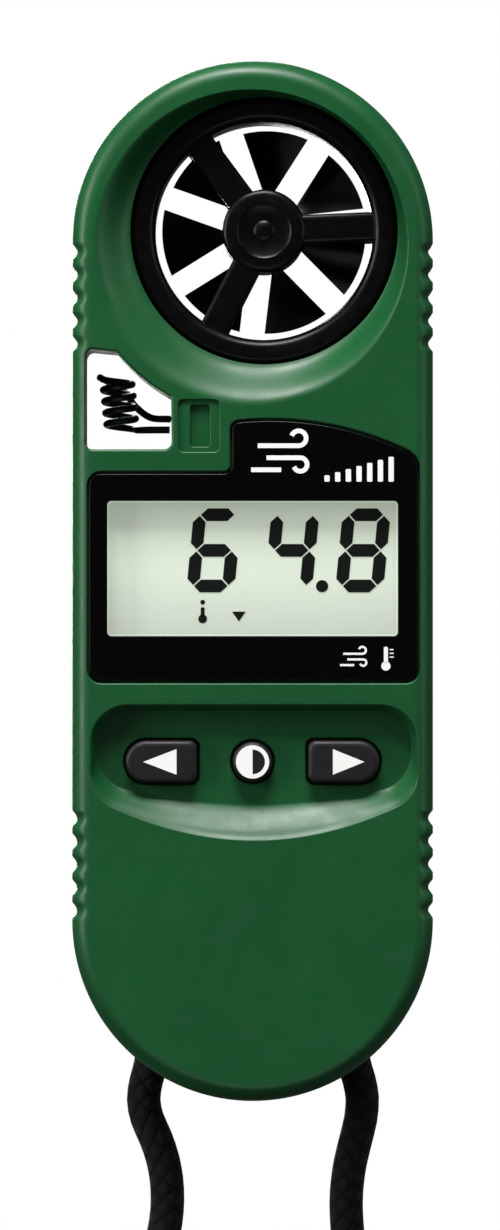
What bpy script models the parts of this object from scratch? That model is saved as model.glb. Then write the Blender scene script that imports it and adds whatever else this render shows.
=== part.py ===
"""Handheld weather meter: a pocket anemometer and thermometer on a neck lanyard.

Frame: +Z up, the front faces -Y, +X to the right, origin at the centre of the casing.
Outlines are lists of (x, z) points, anticlockwise seen from the front. Shapes are built in
millimetres and turned into metres when a piece is finished.
"""
import math

import bmesh
import bpy
from mathutils import Matrix, Vector

MM = 0.001
GAP = 0.3                       # clearance between pieces that touch

# Casing
CASE_RADIUS = 21.15             # half of the width, and the radius of both round ends
END_Z = 39.85                   # height of the centre of each round end
FACE_Y = 9.0                    # half of the depth
EDGE_INSET = 2.2                # rounding of the face's edge, across the face
EDGE_DEPTH = 2.6                # rounding of the face's edge, along the depth
FRONT_SEAM_Y = 1.0
REAR_SEAM_Y = 1.9
WALL = 1.8
CAVITY_TOP_Z = 13.6
CAVITY_BOTTOM_Z = -47.0
FRONT_CAVITY_Y = -5.4
DISPLAY_CAVITY_Y = -7.1
REAR_CAVITY_Y = 5.4

# Scalloped grips on both sides, in an upper and a lower group
GRIP_FIRST_Z = 27.8
GRIP_PITCH = 2.7
GRIP_COUNT = 5
GRIP_DEPTH = 0.55
GRIP_HALF_WIDTH = 0.85

# Impeller and the funnel around it
IMPELLER_X = 1.35
IMPELLER_Z = 41.1
BORE_RADIUS = 15.7
FUNNEL_X = -0.25                # the funnel's mouth sits lower and further left than its bore
FUNNEL_Z = 39.0
FUNNEL_RADIUS = 18.55
FUNNEL_DEPTH = 3.2
REAR_FUNNEL_DEPTH = 2.5
REAR_LIP_RADIUS = 15.0          # the lip in the rear casing that stops the impeller module
HOUSING_RADIUS = 15.4
HOUSING_BORE = 12.8
HOUSING_Y = 5.6
STRUT_ANGLES = (2.5, 126.5, 243.0)
STRUT_HALF_WIDTH = 1.7
HUB_RADIUS = 4.9
BLADE_COUNT = 7
BLADE_RADIUS = 12.0
BLADE_FIRST_ANGLE = 31.8
BLADE_SLOT = 2.95               # width of the parallel-sided slot between two blades
BLADE_PITCH_Y = 2.2             # a blade's leading edge stands this far in front of its middle
AXLE_RADIUS = 0.5

# Sensor window
WINDOW_LEFT = -19.65
WINDOW_RIGHT = -9.47
WINDOW_BOTTOM = 15.4
WINDOW_TOP = 27.1
WINDOW_ARC_RADIUS = 22.45       # about the impeller's axis

# Display
BEZEL_LEFT = -19.2
BEZEL_RIGHT = 19.4
BEZEL_BOTTOM = -11.8
BEZEL_TOP = 12.6
TAB_LEFT = -2.45
TAB_ARC_X = 2.05
TAB_ARC_Z = -18.4
TAB_ARC_RADIUS = 37.2
LCD_HALF_WIDTH = 17.0
LCD_BOTTOM = -6.45
LCD_TOP = 9.34

# Keypad
FLOOR_Y = -6.6
KEYPAD_CORNER = 4.5             # lower corners of the recess
BUTTON_Z = -21.2
BUTTON_FRONT_Y = -8.3
BUTTON_TOP = -18.7
BUTTON_BOTTOM = -23.65
BUTTON_INNER_X = 6.5
BUTTON_OUTER_X = 14.9
POWER_RADIUS = 2.35

# Battery compartment, in the back
BATTERY_Z = -26.0
CELL_RADIUS = 10.0
CELL_THICKNESS = 3.2
CELL_FRONT_Y = 3.2
DOOR_RADIUS = 12.3

# Screws, as (x, z)
SCREW_PLACES = ((-3.2, 17.6), (16.2, 19.5), (-5.5, -51.5), (5.5, -51.5))

# Circuit board
BOARD_Y0 = -3.2
BOARD_Y1 = -2.0

# Lanyard
CORD_RADIUS = 2.0
CORD_HOLE_X = 12.0
CORD_Y = 5.2
CORD_START_Z = -53.5
ANCHOR_TOP_Z = -50.6
HANK_TOP_Z = -99.5              # centre of the hank's upper bend
HANK_BOTTOM_Z = -145.5          # centre of the hank's lower bend
HANK_OUTER = 18.2
HANK_INNER = 5.8
HANK_Y0 = 1.2
HANK_Y1 = 9.2
LEFT_ROUTE = (
    (-12.0, 5.2, -53.5), (-12.0, 5.2, -56.8), (-12.6, 5.2, -59.2), (-12.9, 5.2, -61.4),
    (-12.5, 5.2, -63.6), (-11.5, 5.1, -65.9), (-10.6, 5.0, -68.6), (-10.1, 4.8, -72.0),
    (-10.3, 4.5, -76.0), (-11.5, 4.1, -80.8), (-12.7, 3.9, -84.2),
)
RIGHT_ROUTE = (
    (12.0, 5.2, -53.5), (12.0, 5.2, -56.8), (12.6, 5.2, -59.0), (13.0, 5.2, -61.2),
    (12.8, 5.3, -63.8), (12.1, 5.5, -66.7), (11.4, 5.8, -70.0), (11.1, 6.1, -73.8),
    (11.4, 6.4, -78.5), (12.1, 6.7, -83.5),
)

# A piece's colour, roughness and metallic value
FINISHES = {
    "casing_green": ((0.012, 0.090, 0.035, 1), 0.42, 0.0),
    "door_green": ((0.012, 0.085, 0.033, 1), 0.45, 0.0),
    "gasket_rubber": ((0.010, 0.030, 0.016, 1), 0.8, 0.0),
    "screw_steel": ((0.45, 0.45, 0.46, 1), 0.35, 1.0),
    "bezel_black": ((0.006, 0.007, 0.007, 1), 0.25, 0.0),
    "window_clear": ((0.80, 0.86, 0.80, 1), 0.05, 0.0),
    "display_glass": ((0.56, 0.64, 0.54, 1), 0.35, 0.0),
    "strip_rubber": ((0.75, 0.45, 0.55, 1), 0.7, 0.0),
    "board_green": ((0.020, 0.120, 0.045, 1), 0.5, 0.0),
    "chip_black": ((0.015, 0.015, 0.016, 1), 0.5, 0.0),
    "mat_rubber": ((0.10, 0.10, 0.11, 1), 0.8, 0.0),
    "button_rubber": ((0.020, 0.019, 0.023, 1), 0.55, 0.0),
    "cell_steel": ((0.62, 0.61, 0.58, 1), 0.25, 1.0),
    "contact_metal": ((0.72, 0.58, 0.32, 1), 0.35, 1.0),
    "pickup_case": ((0.05, 0.05, 0.055, 1), 0.5, 0.0),
    "sensor_wire": ((0.05, 0.045, 0.04, 1), 0.4, 0.6),
    "block_plastic": ((0.04, 0.04, 0.042, 1), 0.5, 0.0),
    "housing_black": ((0.006, 0.006, 0.007, 1), 0.4, 0.0),
    "impeller_black": ((0.007, 0.006, 0.007, 1), 0.45, 0.0),
    "axle_steel": ((0.55, 0.55, 0.56, 1), 0.2, 1.0),
    "jewel": ((0.55, 0.04, 0.10, 1), 0.05, 0.0),
    "magnet_metal": ((0.35, 0.35, 0.36, 1), 0.4, 1.0),
    "seal_rubber": ((0.012, 0.012, 0.012, 1), 0.7, 0.0),
    "anchor_metal": ((0.60, 0.60, 0.58, 1), 0.35, 1.0),
    "lanyard_cord": ((0.009, 0.009, 0.010, 1), 0.85, 0.0),
    "tie_fabric": ((0.012, 0.012, 0.013, 1), 0.9, 0.0),
}


def clear_scene():
    for thing in list(bpy.data.objects):
        bpy.data.objects.remove(thing)


def material(name):
    """The named finish as a Principled material, made once."""
    if name in bpy.data.materials:
        return bpy.data.materials[name]
    colour, roughness, metallic = FINISHES[name]
    made = bpy.data.materials.new(name)
    made.use_nodes = True
    shader = made.node_tree.nodes["Principled BSDF"]
    shader.inputs["Base Color"].default_value = colour
    shader.inputs["Roughness"].default_value = roughness
    shader.inputs["Metallic"].default_value = metallic
    made.diffuse_color = colour
    return made


# Outlines

def arc(cx, cz, radius, start, end, steps):
    """Points on a circle from start to end, in degrees, with both ends."""
    turn = [math.radians(start + (end - start) * i / steps) for i in range(steps + 1)]
    return [(cx + radius * math.cos(a), cz + radius * math.sin(a)) for a in turn]


def circle(cx, cz, radius, segments=32):
    return arc(cx, cz, radius, 0, 360, segments)[:-1]


def rounded_rect(x0, z0, x1, z1, radius, steps=4):
    return (arc(x1 - radius, z0 + radius, radius, -90, 0, steps)
            + arc(x1 - radius, z1 - radius, radius, 0, 90, steps)
            + arc(x0 + radius, z1 - radius, radius, 90, 180, steps)
            + arc(x0 + radius, z0 + radius, radius, 180, 270, steps))


def offset(outline, distance):
    """The outline moved outwards by distance, with mitred corners."""
    moved = []
    for i, point in enumerate(outline):
        before = Vector(point) - Vector(outline[i - 1])
        after = Vector(outline[(i + 1) % len(outline)]) - Vector(point)
        normal_a = Vector((before.y, -before.x)).normalized()
        normal_b = Vector((after.y, -after.x)).normalized()
        mitre = (normal_a + normal_b) / (1 + normal_a.dot(normal_b))
        moved.append(tuple(Vector(point) + mitre * distance))
    return moved


def grip_heights():
    """(height, depth share) along one side, from bottom to top, four points to a scallop."""
    places = [sign * (GRIP_FIRST_Z + GRIP_PITCH * i) for sign in (-1, 1) for i in range(GRIP_COUNT)]
    shape = ((-1.0, 0.0), (-0.42, 1.0), (0.42, 1.0), (1.0, 0.0))
    return [(z + GRIP_HALF_WIDTH * step, share) for z in sorted(places) for step, share in shape]


def casing_outline(inset=0.0, grip=0.0, end_steps=28):
    """The pill-shaped outline, with scallops of the given depth down both sides."""
    radius = CASE_RADIUS - inset
    side = [(radius - grip * share, z) for z, share in grip_heights()]
    return (side + arc(0, END_Z, radius, 0, 180, end_steps)
            + [(-x, z) for x, z in reversed(side)]
            + arc(0, -END_Z, radius, 180, 360, end_steps))


def cavity_outline():
    radius = CASE_RADIUS - WALL
    drop = math.degrees(math.asin((CAVITY_BOTTOM_Z + END_Z) / radius))
    corner = 2.0
    top = CAVITY_TOP_Z - corner
    return (arc(0, -END_Z, radius, drop, 0, 4) + arc(radius - corner, top, corner, 0, 90, 3)
            + arc(corner - radius, top, corner, 90, 180, 3) + arc(0, -END_Z, radius, 180, 180 - drop, 4))


def window_outline():
    """The sensor window: square at its lower left, cut by an arc about the impeller."""
    corner = 0.9
    return (arc(WINDOW_RIGHT - corner, WINDOW_BOTTOM + corner, corner, -90, 0, 3)
            + arc(IMPELLER_X, IMPELLER_Z, WINDOW_ARC_RADIUS, 241.2, 219.3, 6)
            + arc(WINDOW_LEFT + corner, WINDOW_TOP - corner, corner, 90, 180, 3)
            + arc(WINDOW_LEFT + corner, WINDOW_BOTTOM + corner, corner, 180, 270, 3))


def bezel_outline():
    """The display bezel: a rounded rectangle with an arched tab at its upper right."""
    corner = 1.5
    small = 0.9
    low = BEZEL_BOTTOM + corner
    high = BEZEL_TOP - corner
    return (arc(BEZEL_RIGHT - corner, low, corner, -90, 0, 4)
            + arc(BEZEL_RIGHT - 2.0, 13.2, 2.0, 0, 62, 4)
            + arc(TAB_ARC_X, TAB_ARC_Z, TAB_ARC_RADIUS, 64.0, 95.6, 10)
            + arc(TAB_LEFT + small, 17.7, small, 96, 180, 3)
            + arc(TAB_LEFT - small, BEZEL_TOP + small, small, 0, -90, 3)
            + arc(BEZEL_LEFT + corner, high, corner, 90, 180, 4)
            + arc(BEZEL_LEFT + corner, low, corner, 180, 270, 4))


def keypad_outline(left, right, top, top_corner, end_z, middle_z):
    """A keypad recess outline: round upper corners and a lower edge that bows downwards."""
    corner = KEYPAD_CORNER
    middle = (right + left) / 2
    half = (right - left) / 2 - corner
    for _ in range(5):
        slope = math.atan2(2 * (end_z - middle_z), half)
        half = (right - left) / 2 - corner * (1 - math.sin(slope))
    bow = [(middle + half * u, middle_z + (end_z - middle_z) * u * u)
           for u in (-1 + i / 8 for i in range(17))]
    centre_z = end_z + corner * math.cos(slope)
    turn = math.degrees(slope)
    return (bow + arc(right - corner, centre_z, corner, turn - 90, 0, 5)[1:]
            + arc(right - top_corner, top - top_corner, top_corner, 0, 90, 5)
            + arc(left + top_corner, top - top_corner, top_corner, 90, 180, 5)
            + arc(left + corner, centre_z, corner, 180, 270 - turn, 5)[:-1])


def side_button_outline(side, grow=0.0):
    """A D-shaped button with a half-round outer end; side is 1 for the right one."""
    middle = (BUTTON_TOP + BUTTON_BOTTOM) / 2
    radius = (BUTTON_TOP - BUTTON_BOTTOM) / 2 + grow
    corner = 0.9
    inner = BUTTON_INNER_X - grow
    outer = BUTTON_OUTER_X + grow
    right = (arc(outer - radius, middle, radius, -90, 90, 12)
             + arc(inner + corner, middle + radius - corner, corner, 90, 180, 3)
             + arc(inner + corner, middle - radius + corner, corner, 180, 270, 3))
    return right if side > 0 else [(-x, z) for x, z in reversed(right)]


# Solids

def level(outline, y):
    """An outline as a ring of points at depth y."""
    return [(x, y, z) for x, z in outline]


def loft(name, rings, loop=False):
    """A closed solid through rings of equal length. A loop joins the last ring to the first."""
    bm = bmesh.new()
    made = [[bm.verts.new(point) for point in ring] for ring in rings]
    count = len(made[0])
    pairs = list(zip(made, made[1:]))
    if loop:
        pairs.append((made[-1], made[0]))
    else:
        bm.faces.new(made[0])
        bm.faces.new(made[-1])
    for first, second in pairs:
        for i in range(count):
            j = (i + 1) % count
            bm.faces.new((first[i], first[j], second[j], second[i]))
    bmesh.ops.recalc_face_normals(bm, faces=bm.faces)
    mesh = bpy.data.meshes.new(name)
    bm.to_mesh(mesh)
    bm.free()
    piece = bpy.data.objects.new(name, mesh)
    bpy.context.collection.objects.link(piece)
    return piece


def prism(name, outline, y0, y1):
    return loft(name, [level(outline, y0), level(outline, y1)])


def turned(name, profile, cx, cz, segments=32, loop=False):
    """A body of (radius, y) profile about an axis along Y through (cx, cz)."""
    return loft(name, [level(circle(cx, cz, r, segments), y) for r, y in profile], loop)


def box(name, x0, y0, z0, x1, y1, z1):
    return prism(name, [(x0, z0), (x1, z0), (x1, z1), (x0, z1)], y0, y1)


def combine(target, tool, operation):
    """Cut the tool from the target, or join it on, and use the tool up."""
    modifier = target.modifiers.new(operation.lower(), "BOOLEAN")
    modifier.operation = operation
    modifier.object = tool
    depsgraph = bpy.context.evaluated_depsgraph_get()
    result = bpy.data.meshes.new_from_object(target.evaluated_get(depsgraph))
    target.modifiers.clear()
    target.data = result
    bpy.data.objects.remove(tool)


def cut(target, *tools):
    for tool in tools:
        combine(target, tool, "DIFFERENCE")


def join(target, *tools):
    for tool in tools:
        combine(target, tool, "UNION")


def finish(piece, finish_name, origin=(0, 0, 0), angle=32):
    """Scale a piece to metres, put its origin in place, shade it and give it its material."""
    shift = Matrix.Translation(-Vector(origin))
    piece.data.transform(Matrix.Scale(MM, 4) @ shift)
    piece.location = Vector(origin) * MM
    piece.data.materials.clear()
    piece.data.materials.append(material(finish_name))
    piece.data.shade_smooth()
    piece.data.set_sharp_from_angle(angle=math.radians(angle))
    return piece


# Casing

def casing_rings(seam_y, face_y, steps):
    """Rings from the seam to the rounded edge of a face; the scallops fade out on the rounding."""
    side = 1 if face_y > seam_y else -1
    rings = [level(casing_outline(0, GRIP_DEPTH), seam_y)]
    for i in range(steps + 1):
        turn = math.pi / 2 * i / steps
        inset = EDGE_INSET * (1 - math.cos(turn))
        y = face_y - side * EDGE_DEPTH * (1 - math.sin(turn))
        rings.append(level(casing_outline(inset, GRIP_DEPTH * math.cos(turn)), y))
    return rings


def funnel_cutter(side, bore, depth, reach):
    """The dished funnel and the bore through its middle; side is -1 for the front."""
    segments = 72
    steps = 7
    rings = [level(circle(FUNNEL_X, FUNNEL_Z, FUNNEL_RADIUS, segments), side * (FACE_Y + 1))]
    for i in range(steps + 1):
        share = i / steps
        sunk = depth * (0.25 * share + 0.75 * share * share * (3 - 2 * share))
        x = FUNNEL_X + (IMPELLER_X - FUNNEL_X) * share
        z = FUNNEL_Z + (IMPELLER_Z - FUNNEL_Z) * share
        radius = FUNNEL_RADIUS + (bore - FUNNEL_RADIUS) * share
        rings.append(level(circle(x, z, radius, segments), side * (FACE_Y - sunk)))
    rings.append(level(circle(IMPELLER_X, IMPELLER_Z, bore, segments), reach))
    return loft("funnel_cutter", rings)


def keypad_cutter():
    mouth = keypad_outline(-18.9, 19.3, -14.6, 4.4, -26.4, -30.2)
    floor = keypad_outline(-18.2, 18.6, -15.2, 3.8, -24.4, -26.1)
    rings = [level(mouth, -FACE_Y - 1), level(mouth, -FACE_Y), level(floor, FLOOR_Y)]
    return loft("keypad_cutter", rings)


def front_casing():
    body = loft("front_casing", casing_rings(FRONT_SEAM_Y, -FACE_Y, 5))
    beyond = FRONT_SEAM_Y + 1
    cut(body,
        prism("cavity", cavity_outline(), FRONT_CAVITY_Y, beyond),
        prism("display_cavity", rounded_rect(-18.9, -12.3, 18.9, 13.2, 1.0), DISPLAY_CAVITY_Y, -5.0),
        prism("bezel_recess", offset(bezel_outline(), GAP), -FACE_Y - 1, -7.8),
        prism("display_hole", rounded_rect(-17.4, -6.85, 17.4, 9.75, 0.6), -8.5, -6.5),
        funnel_cutter(-1, BORE_RADIUS, FUNNEL_DEPTH, beyond),
        prism("sensor_window", window_outline(), -FACE_Y - 1, beyond),
        prism("pocket", rounded_rect(-8.7, 15.1, -3.9, 21.2, 0.6), -FACE_Y - 1, -8.65),
        prism("pocket_slot", rounded_rect(-7.3, 15.7, -5.0, 20.6, 0.4), -FACE_Y - 1, -8.2),
        keypad_cutter(),
        prism("left_hole", side_button_outline(-1, GAP), -7.5, -4.5),
        prism("right_hole", side_button_outline(1, GAP), -7.5, -4.5),
        prism("power_hole", circle(0, BUTTON_Z, POWER_RADIUS + GAP, 28), -7.5, -4.5),
        box("pickup_channel", 2.0, -3.5, 12.9, 7.0, beyond, 23.8),
        box("block_pocket", -9.9, -1.7, 16.5, -5.9, beyond, 20.5))
    for x, z in SCREW_PLACES:
        cut(body, prism("screw_hole", circle(x, z, 1.3, 14), -3.6, beyond))
    return finish(body, "casing_green")


def rear_casing():
    body = loft("rear_casing", casing_rings(REAR_SEAM_Y, FACE_Y, 5))
    before = REAR_SEAM_Y - 1
    cut(body,
        prism("cavity", cavity_outline(), before, REAR_CAVITY_Y),
        funnel_cutter(1, REAR_LIP_RADIUS, REAR_FUNNEL_DEPTH, before),
        prism("module_seat", circle(IMPELLER_X, IMPELLER_Z, BORE_RADIUS, 72), before, HOUSING_Y + GAP),
        prism("sensor_window", window_outline(), before, FACE_Y + 1),
        turned("battery_hole", ((10.9, 4.5), (10.9, 7.0), (12.6, 7.0), (12.6, FACE_Y + 1)), 0, BATTERY_Z, 48))
    for x, z in SCREW_PLACES:
        cut(body, turned("screw_hole", ((1.3, before), (1.3, 6.8), (2.0, 6.8), (2.0, FACE_Y + 1)), x, z, 16))
    for side in (-1, 1):
        hole = cord_socket("cord_hole", side * CORD_HOLE_X, CORD_RADIUS + GAP, -70.0, ANCHOR_TOP_Z + GAP, 16)
        cut(body, hole)
    return finish(body, "casing_green")


def cord_socket(name, x, radius, z0, z1, segments):
    """A round bar along Z at the depth of the lanyard's holes."""
    ring = circle(x, CORD_Y, radius, segments)
    return loft(name, [[(px, py, z) for px, py in ring] for z in (z0, z1)])


def casing_gasket():
    radius = CASE_RADIUS - 0.7
    outline = arc(0, END_Z, radius, 0, 180, 32) + arc(0, -END_Z, radius, 180, 360, 32)
    y0 = FRONT_SEAM_Y + GAP
    y1 = REAR_SEAM_Y - GAP
    body = prism("casing_gasket", outline, y0, y1)
    cut(body,
        prism("cavity", cavity_outline(), y0 - 1, y1 + 1),
        prism("bore", circle(IMPELLER_X, IMPELLER_Z, BORE_RADIUS + 0.4, 48), y0 - 1, y1 + 1),
        prism("sensor_window", offset(window_outline(), 0.35), y0 - 1, y1 + 1),
        box("pickup_channel", 2.0, y0 - 1, 12.9, 7.0, y1 + 1, 23.8))
    for x, z in SCREW_PLACES:
        cut(body, prism("screw_hole", circle(x, z, 1.4, 12), y0 - 1, y1 + 1))
    return finish(body, "gasket_rubber")


def casing_screws():
    """Pan-head screws with a cross slot, let into the back."""
    for number, (x, z) in enumerate(SCREW_PLACES, 1):
        shank = ((0.7, -3.0), (1.0, -2.6), (1.0, 7.1), (1.7, 7.1), (1.7, 7.9), (1.3, 8.3))
        body = turned(f"casing_screw_{number}", shank, x, z, 16)
        cut(body,
            box("slot_a", x - 1.1, 7.7, z - 0.18, x + 1.1, 9, z + 0.18),
            box("slot_b", x - 0.18, 7.7, z - 1.1, x + 0.18, 9, z + 1.1))
        finish(body, "screw_steel")


# Display and electronics

def display():
    bezel = prism("display_bezel", bezel_outline(), -8.9, -8.1)
    opening = rounded_rect(-LCD_HALF_WIDTH, LCD_BOTTOM, LCD_HALF_WIDTH, LCD_TOP, 0.4, 2)
    cut(bezel, prism("opening", opening, -10, -7))
    finish(bezel, "bezel_black")
    finish(prism("lcd_window", offset(opening, -GAP), -8.7, -8.1), "window_clear")
    finish(prism("lcd_panel", rounded_rect(-18.4, -8.6, 18.4, 11.4, 0.3, 1), -6.8, -5.2), "display_glass")
    for name, z in (("contact_strip_upper", 10.3), ("contact_strip_lower", -7.5)):
        finish(box(name, -16.5, -4.9, z - 0.7, 16.5, BOARD_Y0 - GAP, z + 0.7), "strip_rubber")


def electronics():
    board = prism("circuit_board", rounded_rect(-17.5, -38.0, 17.5, 12.5, 1.5), BOARD_Y0, BOARD_Y1)
    join(board, box("tongue", 2.4, BOARD_Y0, 11.0, 6.6, BOARD_Y1, 23.4))
    finish(board, "board_green")
    chip_y = BOARD_Y1 + GAP
    finish(prism("controller_chip", rounded_rect(-5, -4, 5, 6, 0.4, 1), chip_y, chip_y + 1.1), "chip_black")
    finish(box("rotation_pickup", 2.6, chip_y, 18.6, 6.4, 0.6, 23.0), "pickup_case")
    mat = rounded_rect(-16.5, -26.2, 16.5, -16.2, 2.0)
    finish(prism("keypad_mat", mat, -4.0, BOARD_Y0 - GAP), "mat_rubber")


def battery():
    cell_back = CELL_FRONT_Y + CELL_THICKNESS
    profile = ((8.6, CELL_FRONT_Y), (8.8, CELL_FRONT_Y + 0.5), (9.7, CELL_FRONT_Y + 0.5),
               (CELL_RADIUS, CELL_FRONT_Y + 0.8), (CELL_RADIUS, cell_back - 0.3), (9.7, cell_back))
    finish(turned("coin_cell", profile, 0, BATTERY_Z, 40), "cell_steel")
    foot = BOARD_Y1 + GAP
    leaf = 0.4
    side = CELL_RADIUS + GAP
    bent = ((side, foot), (side + 3, foot), (side + 3, foot + leaf), (side + leaf, foot + leaf),
            (side + leaf, 5.0), (side, 5.0))
    finish(strip("battery_contact_positive", bent, BATTERY_Z - 3, BATTERY_Z + 3), "contact_metal")
    top = CELL_FRONT_Y - GAP
    spring = ((-6, foot), (-2.2, foot), (0.8, top - leaf), (5, top - leaf), (5, top), (0.5, top),
              (-2.5, foot + leaf), (-6, foot + leaf))
    finish(strip("battery_contact_negative", spring, BATTERY_Z - 2, BATTERY_Z + 2), "contact_metal")


def strip(name, profile, z0, z1):
    """A bent strip whose (x, y) profile runs along Z."""
    return loft(name, [[(x, y, z) for x, y in profile] for z in (z0, z1)])


def battery_door():
    """The round cap with a coin slot, and the flat seal under its rim."""
    profile = ((10.0, 6.7), (10.3, 7.0), (10.3, 8.0), (DOOR_RADIUS, 8.0), (DOOR_RADIUS, 8.6), (12.0, 8.9))
    door = turned("battery_door", profile, 0, BATTERY_Z, 48)
    slot = rounded_rect(-6.5, BATTERY_Z - 0.9, 6.5, BATTERY_Z + 0.9, 0.8, 3)
    cut(door, prism("coin_slot", slot, 8.0, 10))
    finish(door, "door_green", (0, 8.9, BATTERY_Z))
    ring = ((10.6, 7.3), (DOOR_RADIUS, 7.3), (DOOR_RADIUS, 7.7), (10.6, 7.7))
    finish(turned("battery_door_seal", ring, 0, BATTERY_Z, 40, loop=True), "seal_rubber")


# Keypad

def buttons():
    """Rubber keys with a flange behind the keypad floor. Each one's origin is on its own axis."""
    shoulder = BUTTON_FRONT_Y + 0.45
    levels = ((0.9, -4.6), (0.9, -5.1), (0.0, -5.1), (0.0, shoulder), (-0.15, BUTTON_FRONT_Y + 0.14),
              (-0.5, BUTTON_FRONT_Y))
    for name, side in (("button_left", -1), ("button_right", 1)):
        rings = [level(side_button_outline(side, grow), y) for grow, y in levels]
        centre = (side * (BUTTON_INNER_X + BUTTON_OUTER_X) / 2, BUTTON_FRONT_Y, BUTTON_Z)
        finish(loft(name, rings), "button_rubber", centre)
    profile = [(POWER_RADIUS + grow, y) for grow, y in levels]
    power = turned("button_power", profile, 0, BUTTON_Z, 28)
    finish(power, "button_rubber", (0, BUTTON_FRONT_Y, BUTTON_Z))


# Impeller module

def impeller_housing(name, side):
    """One half of the housing: ring, three struts and a hub with a blind hole for its jewel."""
    outer = side * HOUSING_Y
    middle = side * GAP / 2
    lip = side * (HOUSING_Y - 0.5)
    ring = ((HOUSING_RADIUS, middle), (HOUSING_RADIUS, lip), (HOUSING_RADIUS - 0.4, outer),
            (HOUSING_BORE + 0.5, outer), (HOUSING_BORE, lip), (HOUSING_BORE, middle))
    body = turned(name, ring, IMPELLER_X, IMPELLER_Z, 56, loop=True)
    hub = turned("hub", ((HUB_RADIUS, side * 3.2), (HUB_RADIUS, side * 4.7), (HUB_RADIUS - 0.6, side * 5.3)),
                 IMPELLER_X, IMPELLER_Z, 32)
    for angle in STRUT_ANGLES:
        along = Vector((math.cos(math.radians(angle)), math.sin(math.radians(angle))))
        across = Vector((-along.y, along.x)) * STRUT_HALF_WIDTH
        centre = Vector((IMPELLER_X, IMPELLER_Z))
        near = centre + along * (HUB_RADIUS - 1.5)
        far = centre + along * (HOUSING_BORE + 0.8)
        outline = [tuple(p) for p in (near - across, far - across, far + across, near + across)]
        join(hub, prism("strut", outline, side * 3.6, side * 4.9))
    join(body, hub)
    cut(body, turned("jewel_seat", ((1.4, side * 2.5), (1.4, side * 4.6)), IMPELLER_X, IMPELLER_Z, 16))
    finish(body, "housing_black", (IMPELLER_X, 0, IMPELLER_Z))


def jewel_bearing(name, side):
    """A jewel cup, open towards the impeller, with the axle's end in it."""
    face = side * 3.2
    cup = turned(name, ((1.1, face), (1.1, side * 4.3)), IMPELLER_X, IMPELLER_Z, 20)
    cut(cup, turned("cup", ((0.58, side * 3.0), (0.58, side * 4.0)), IMPELLER_X, IMPELLER_Z, 20))
    finish(cup, "jewel", (IMPELLER_X, 0, IMPELLER_Z))


def blade(angle):
    """One twisted blade; the slot to the next blade has parallel sides."""
    rings = []
    for radius in (HUB_RADIUS - 0.8, 6.6, 9.3, BLADE_RADIUS):
        half = 180 / BLADE_COUNT - math.degrees(math.asin(BLADE_SLOT / 2 / radius))
        front = []
        back = []
        for share in (-1, -0.4, 0.4, 1):
            turn = math.radians(angle + half * share)
            x = IMPELLER_X + radius * math.cos(turn)
            z = IMPELLER_Z + radius * math.sin(turn)
            front.append((x, BLADE_PITCH_Y * share - 0.4, z))
            back.append((x, BLADE_PITCH_Y * share + 0.4, z))
        rings.append(front + back[::-1])
    return loft("blade", rings)


def impeller():
    profile = ((4.2, -2.7), (HUB_RADIUS, -2.2), (HUB_RADIUS, 2.2), (4.2, 2.7))
    body = turned("impeller", profile, IMPELLER_X, IMPELLER_Z, 42)
    for i in range(BLADE_COUNT):
        join(body, blade(BLADE_FIRST_ANGLE + 360 / BLADE_COUNT * i))
    cut(body,
        prism("axle_hole", circle(IMPELLER_X, IMPELLER_Z, AXLE_RADIUS + GAP, 12), -4, 4),
        turned("magnet_seat", ((2.6, 1.1), (2.6, 4.0)), IMPELLER_X, IMPELLER_Z, 20))
    centre = (IMPELLER_X, 0, IMPELLER_Z)
    finish(body, "impeller_black", centre)
    axle = ((0.2, -3.8), (AXLE_RADIUS, -3.4), (AXLE_RADIUS, 3.4), (0.2, 3.8))
    finish(turned("impeller_axle", axle, IMPELLER_X, IMPELLER_Z, 16), "axle_steel", centre)
    inner = AXLE_RADIUS + GAP
    magnet = ((inner, 1.4), (2.3, 1.4), (2.3, 2.6), (inner, 2.6))
    finish(turned("impeller_magnet", magnet, IMPELLER_X, IMPELLER_Z, 20, loop=True), "magnet_metal", centre)


# Temperature sensor

def smooth_route(points, spacing):
    """Points about spacing apart along a Catmull-Rom curve through the given points."""
    knots = [Vector(p) for p in points]
    knots = [knots[0] * 2 - knots[1]] + knots + [knots[-1] * 2 - knots[-2]]
    route = []
    for a, b, c, d in zip(knots, knots[1:], knots[2:], knots[3:]):
        steps = max(1, round((c - b).length / spacing))
        for i in range(steps):
            t = i / steps
            route.append(0.5 * (2 * b + (c - a) * t + (2 * a - 5 * b + 4 * c - d) * t ** 2
                                + (3 * b - a - 3 * c + d) * t ** 3))
    return route + [knots[-2]]


def tube(name, route, radius, resolution, finish_name):
    """A round cord, wire or tube along a route in millimetres, with filled ends."""
    curve = bpy.data.curves.new(name, "CURVE")
    curve.dimensions = "3D"
    curve.bevel_depth = radius * MM
    curve.bevel_resolution = resolution
    curve.use_fill_caps = True
    spline = curve.splines.new("POLY")
    spline.points.add(len(route) - 1)
    for point, place in zip(spline.points, route):
        point.co = (*(Vector(place) * MM), 1)
    curve.materials.append(material(finish_name))
    piece = bpy.data.objects.new(name, curve)
    bpy.context.collection.objects.link(piece)


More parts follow.
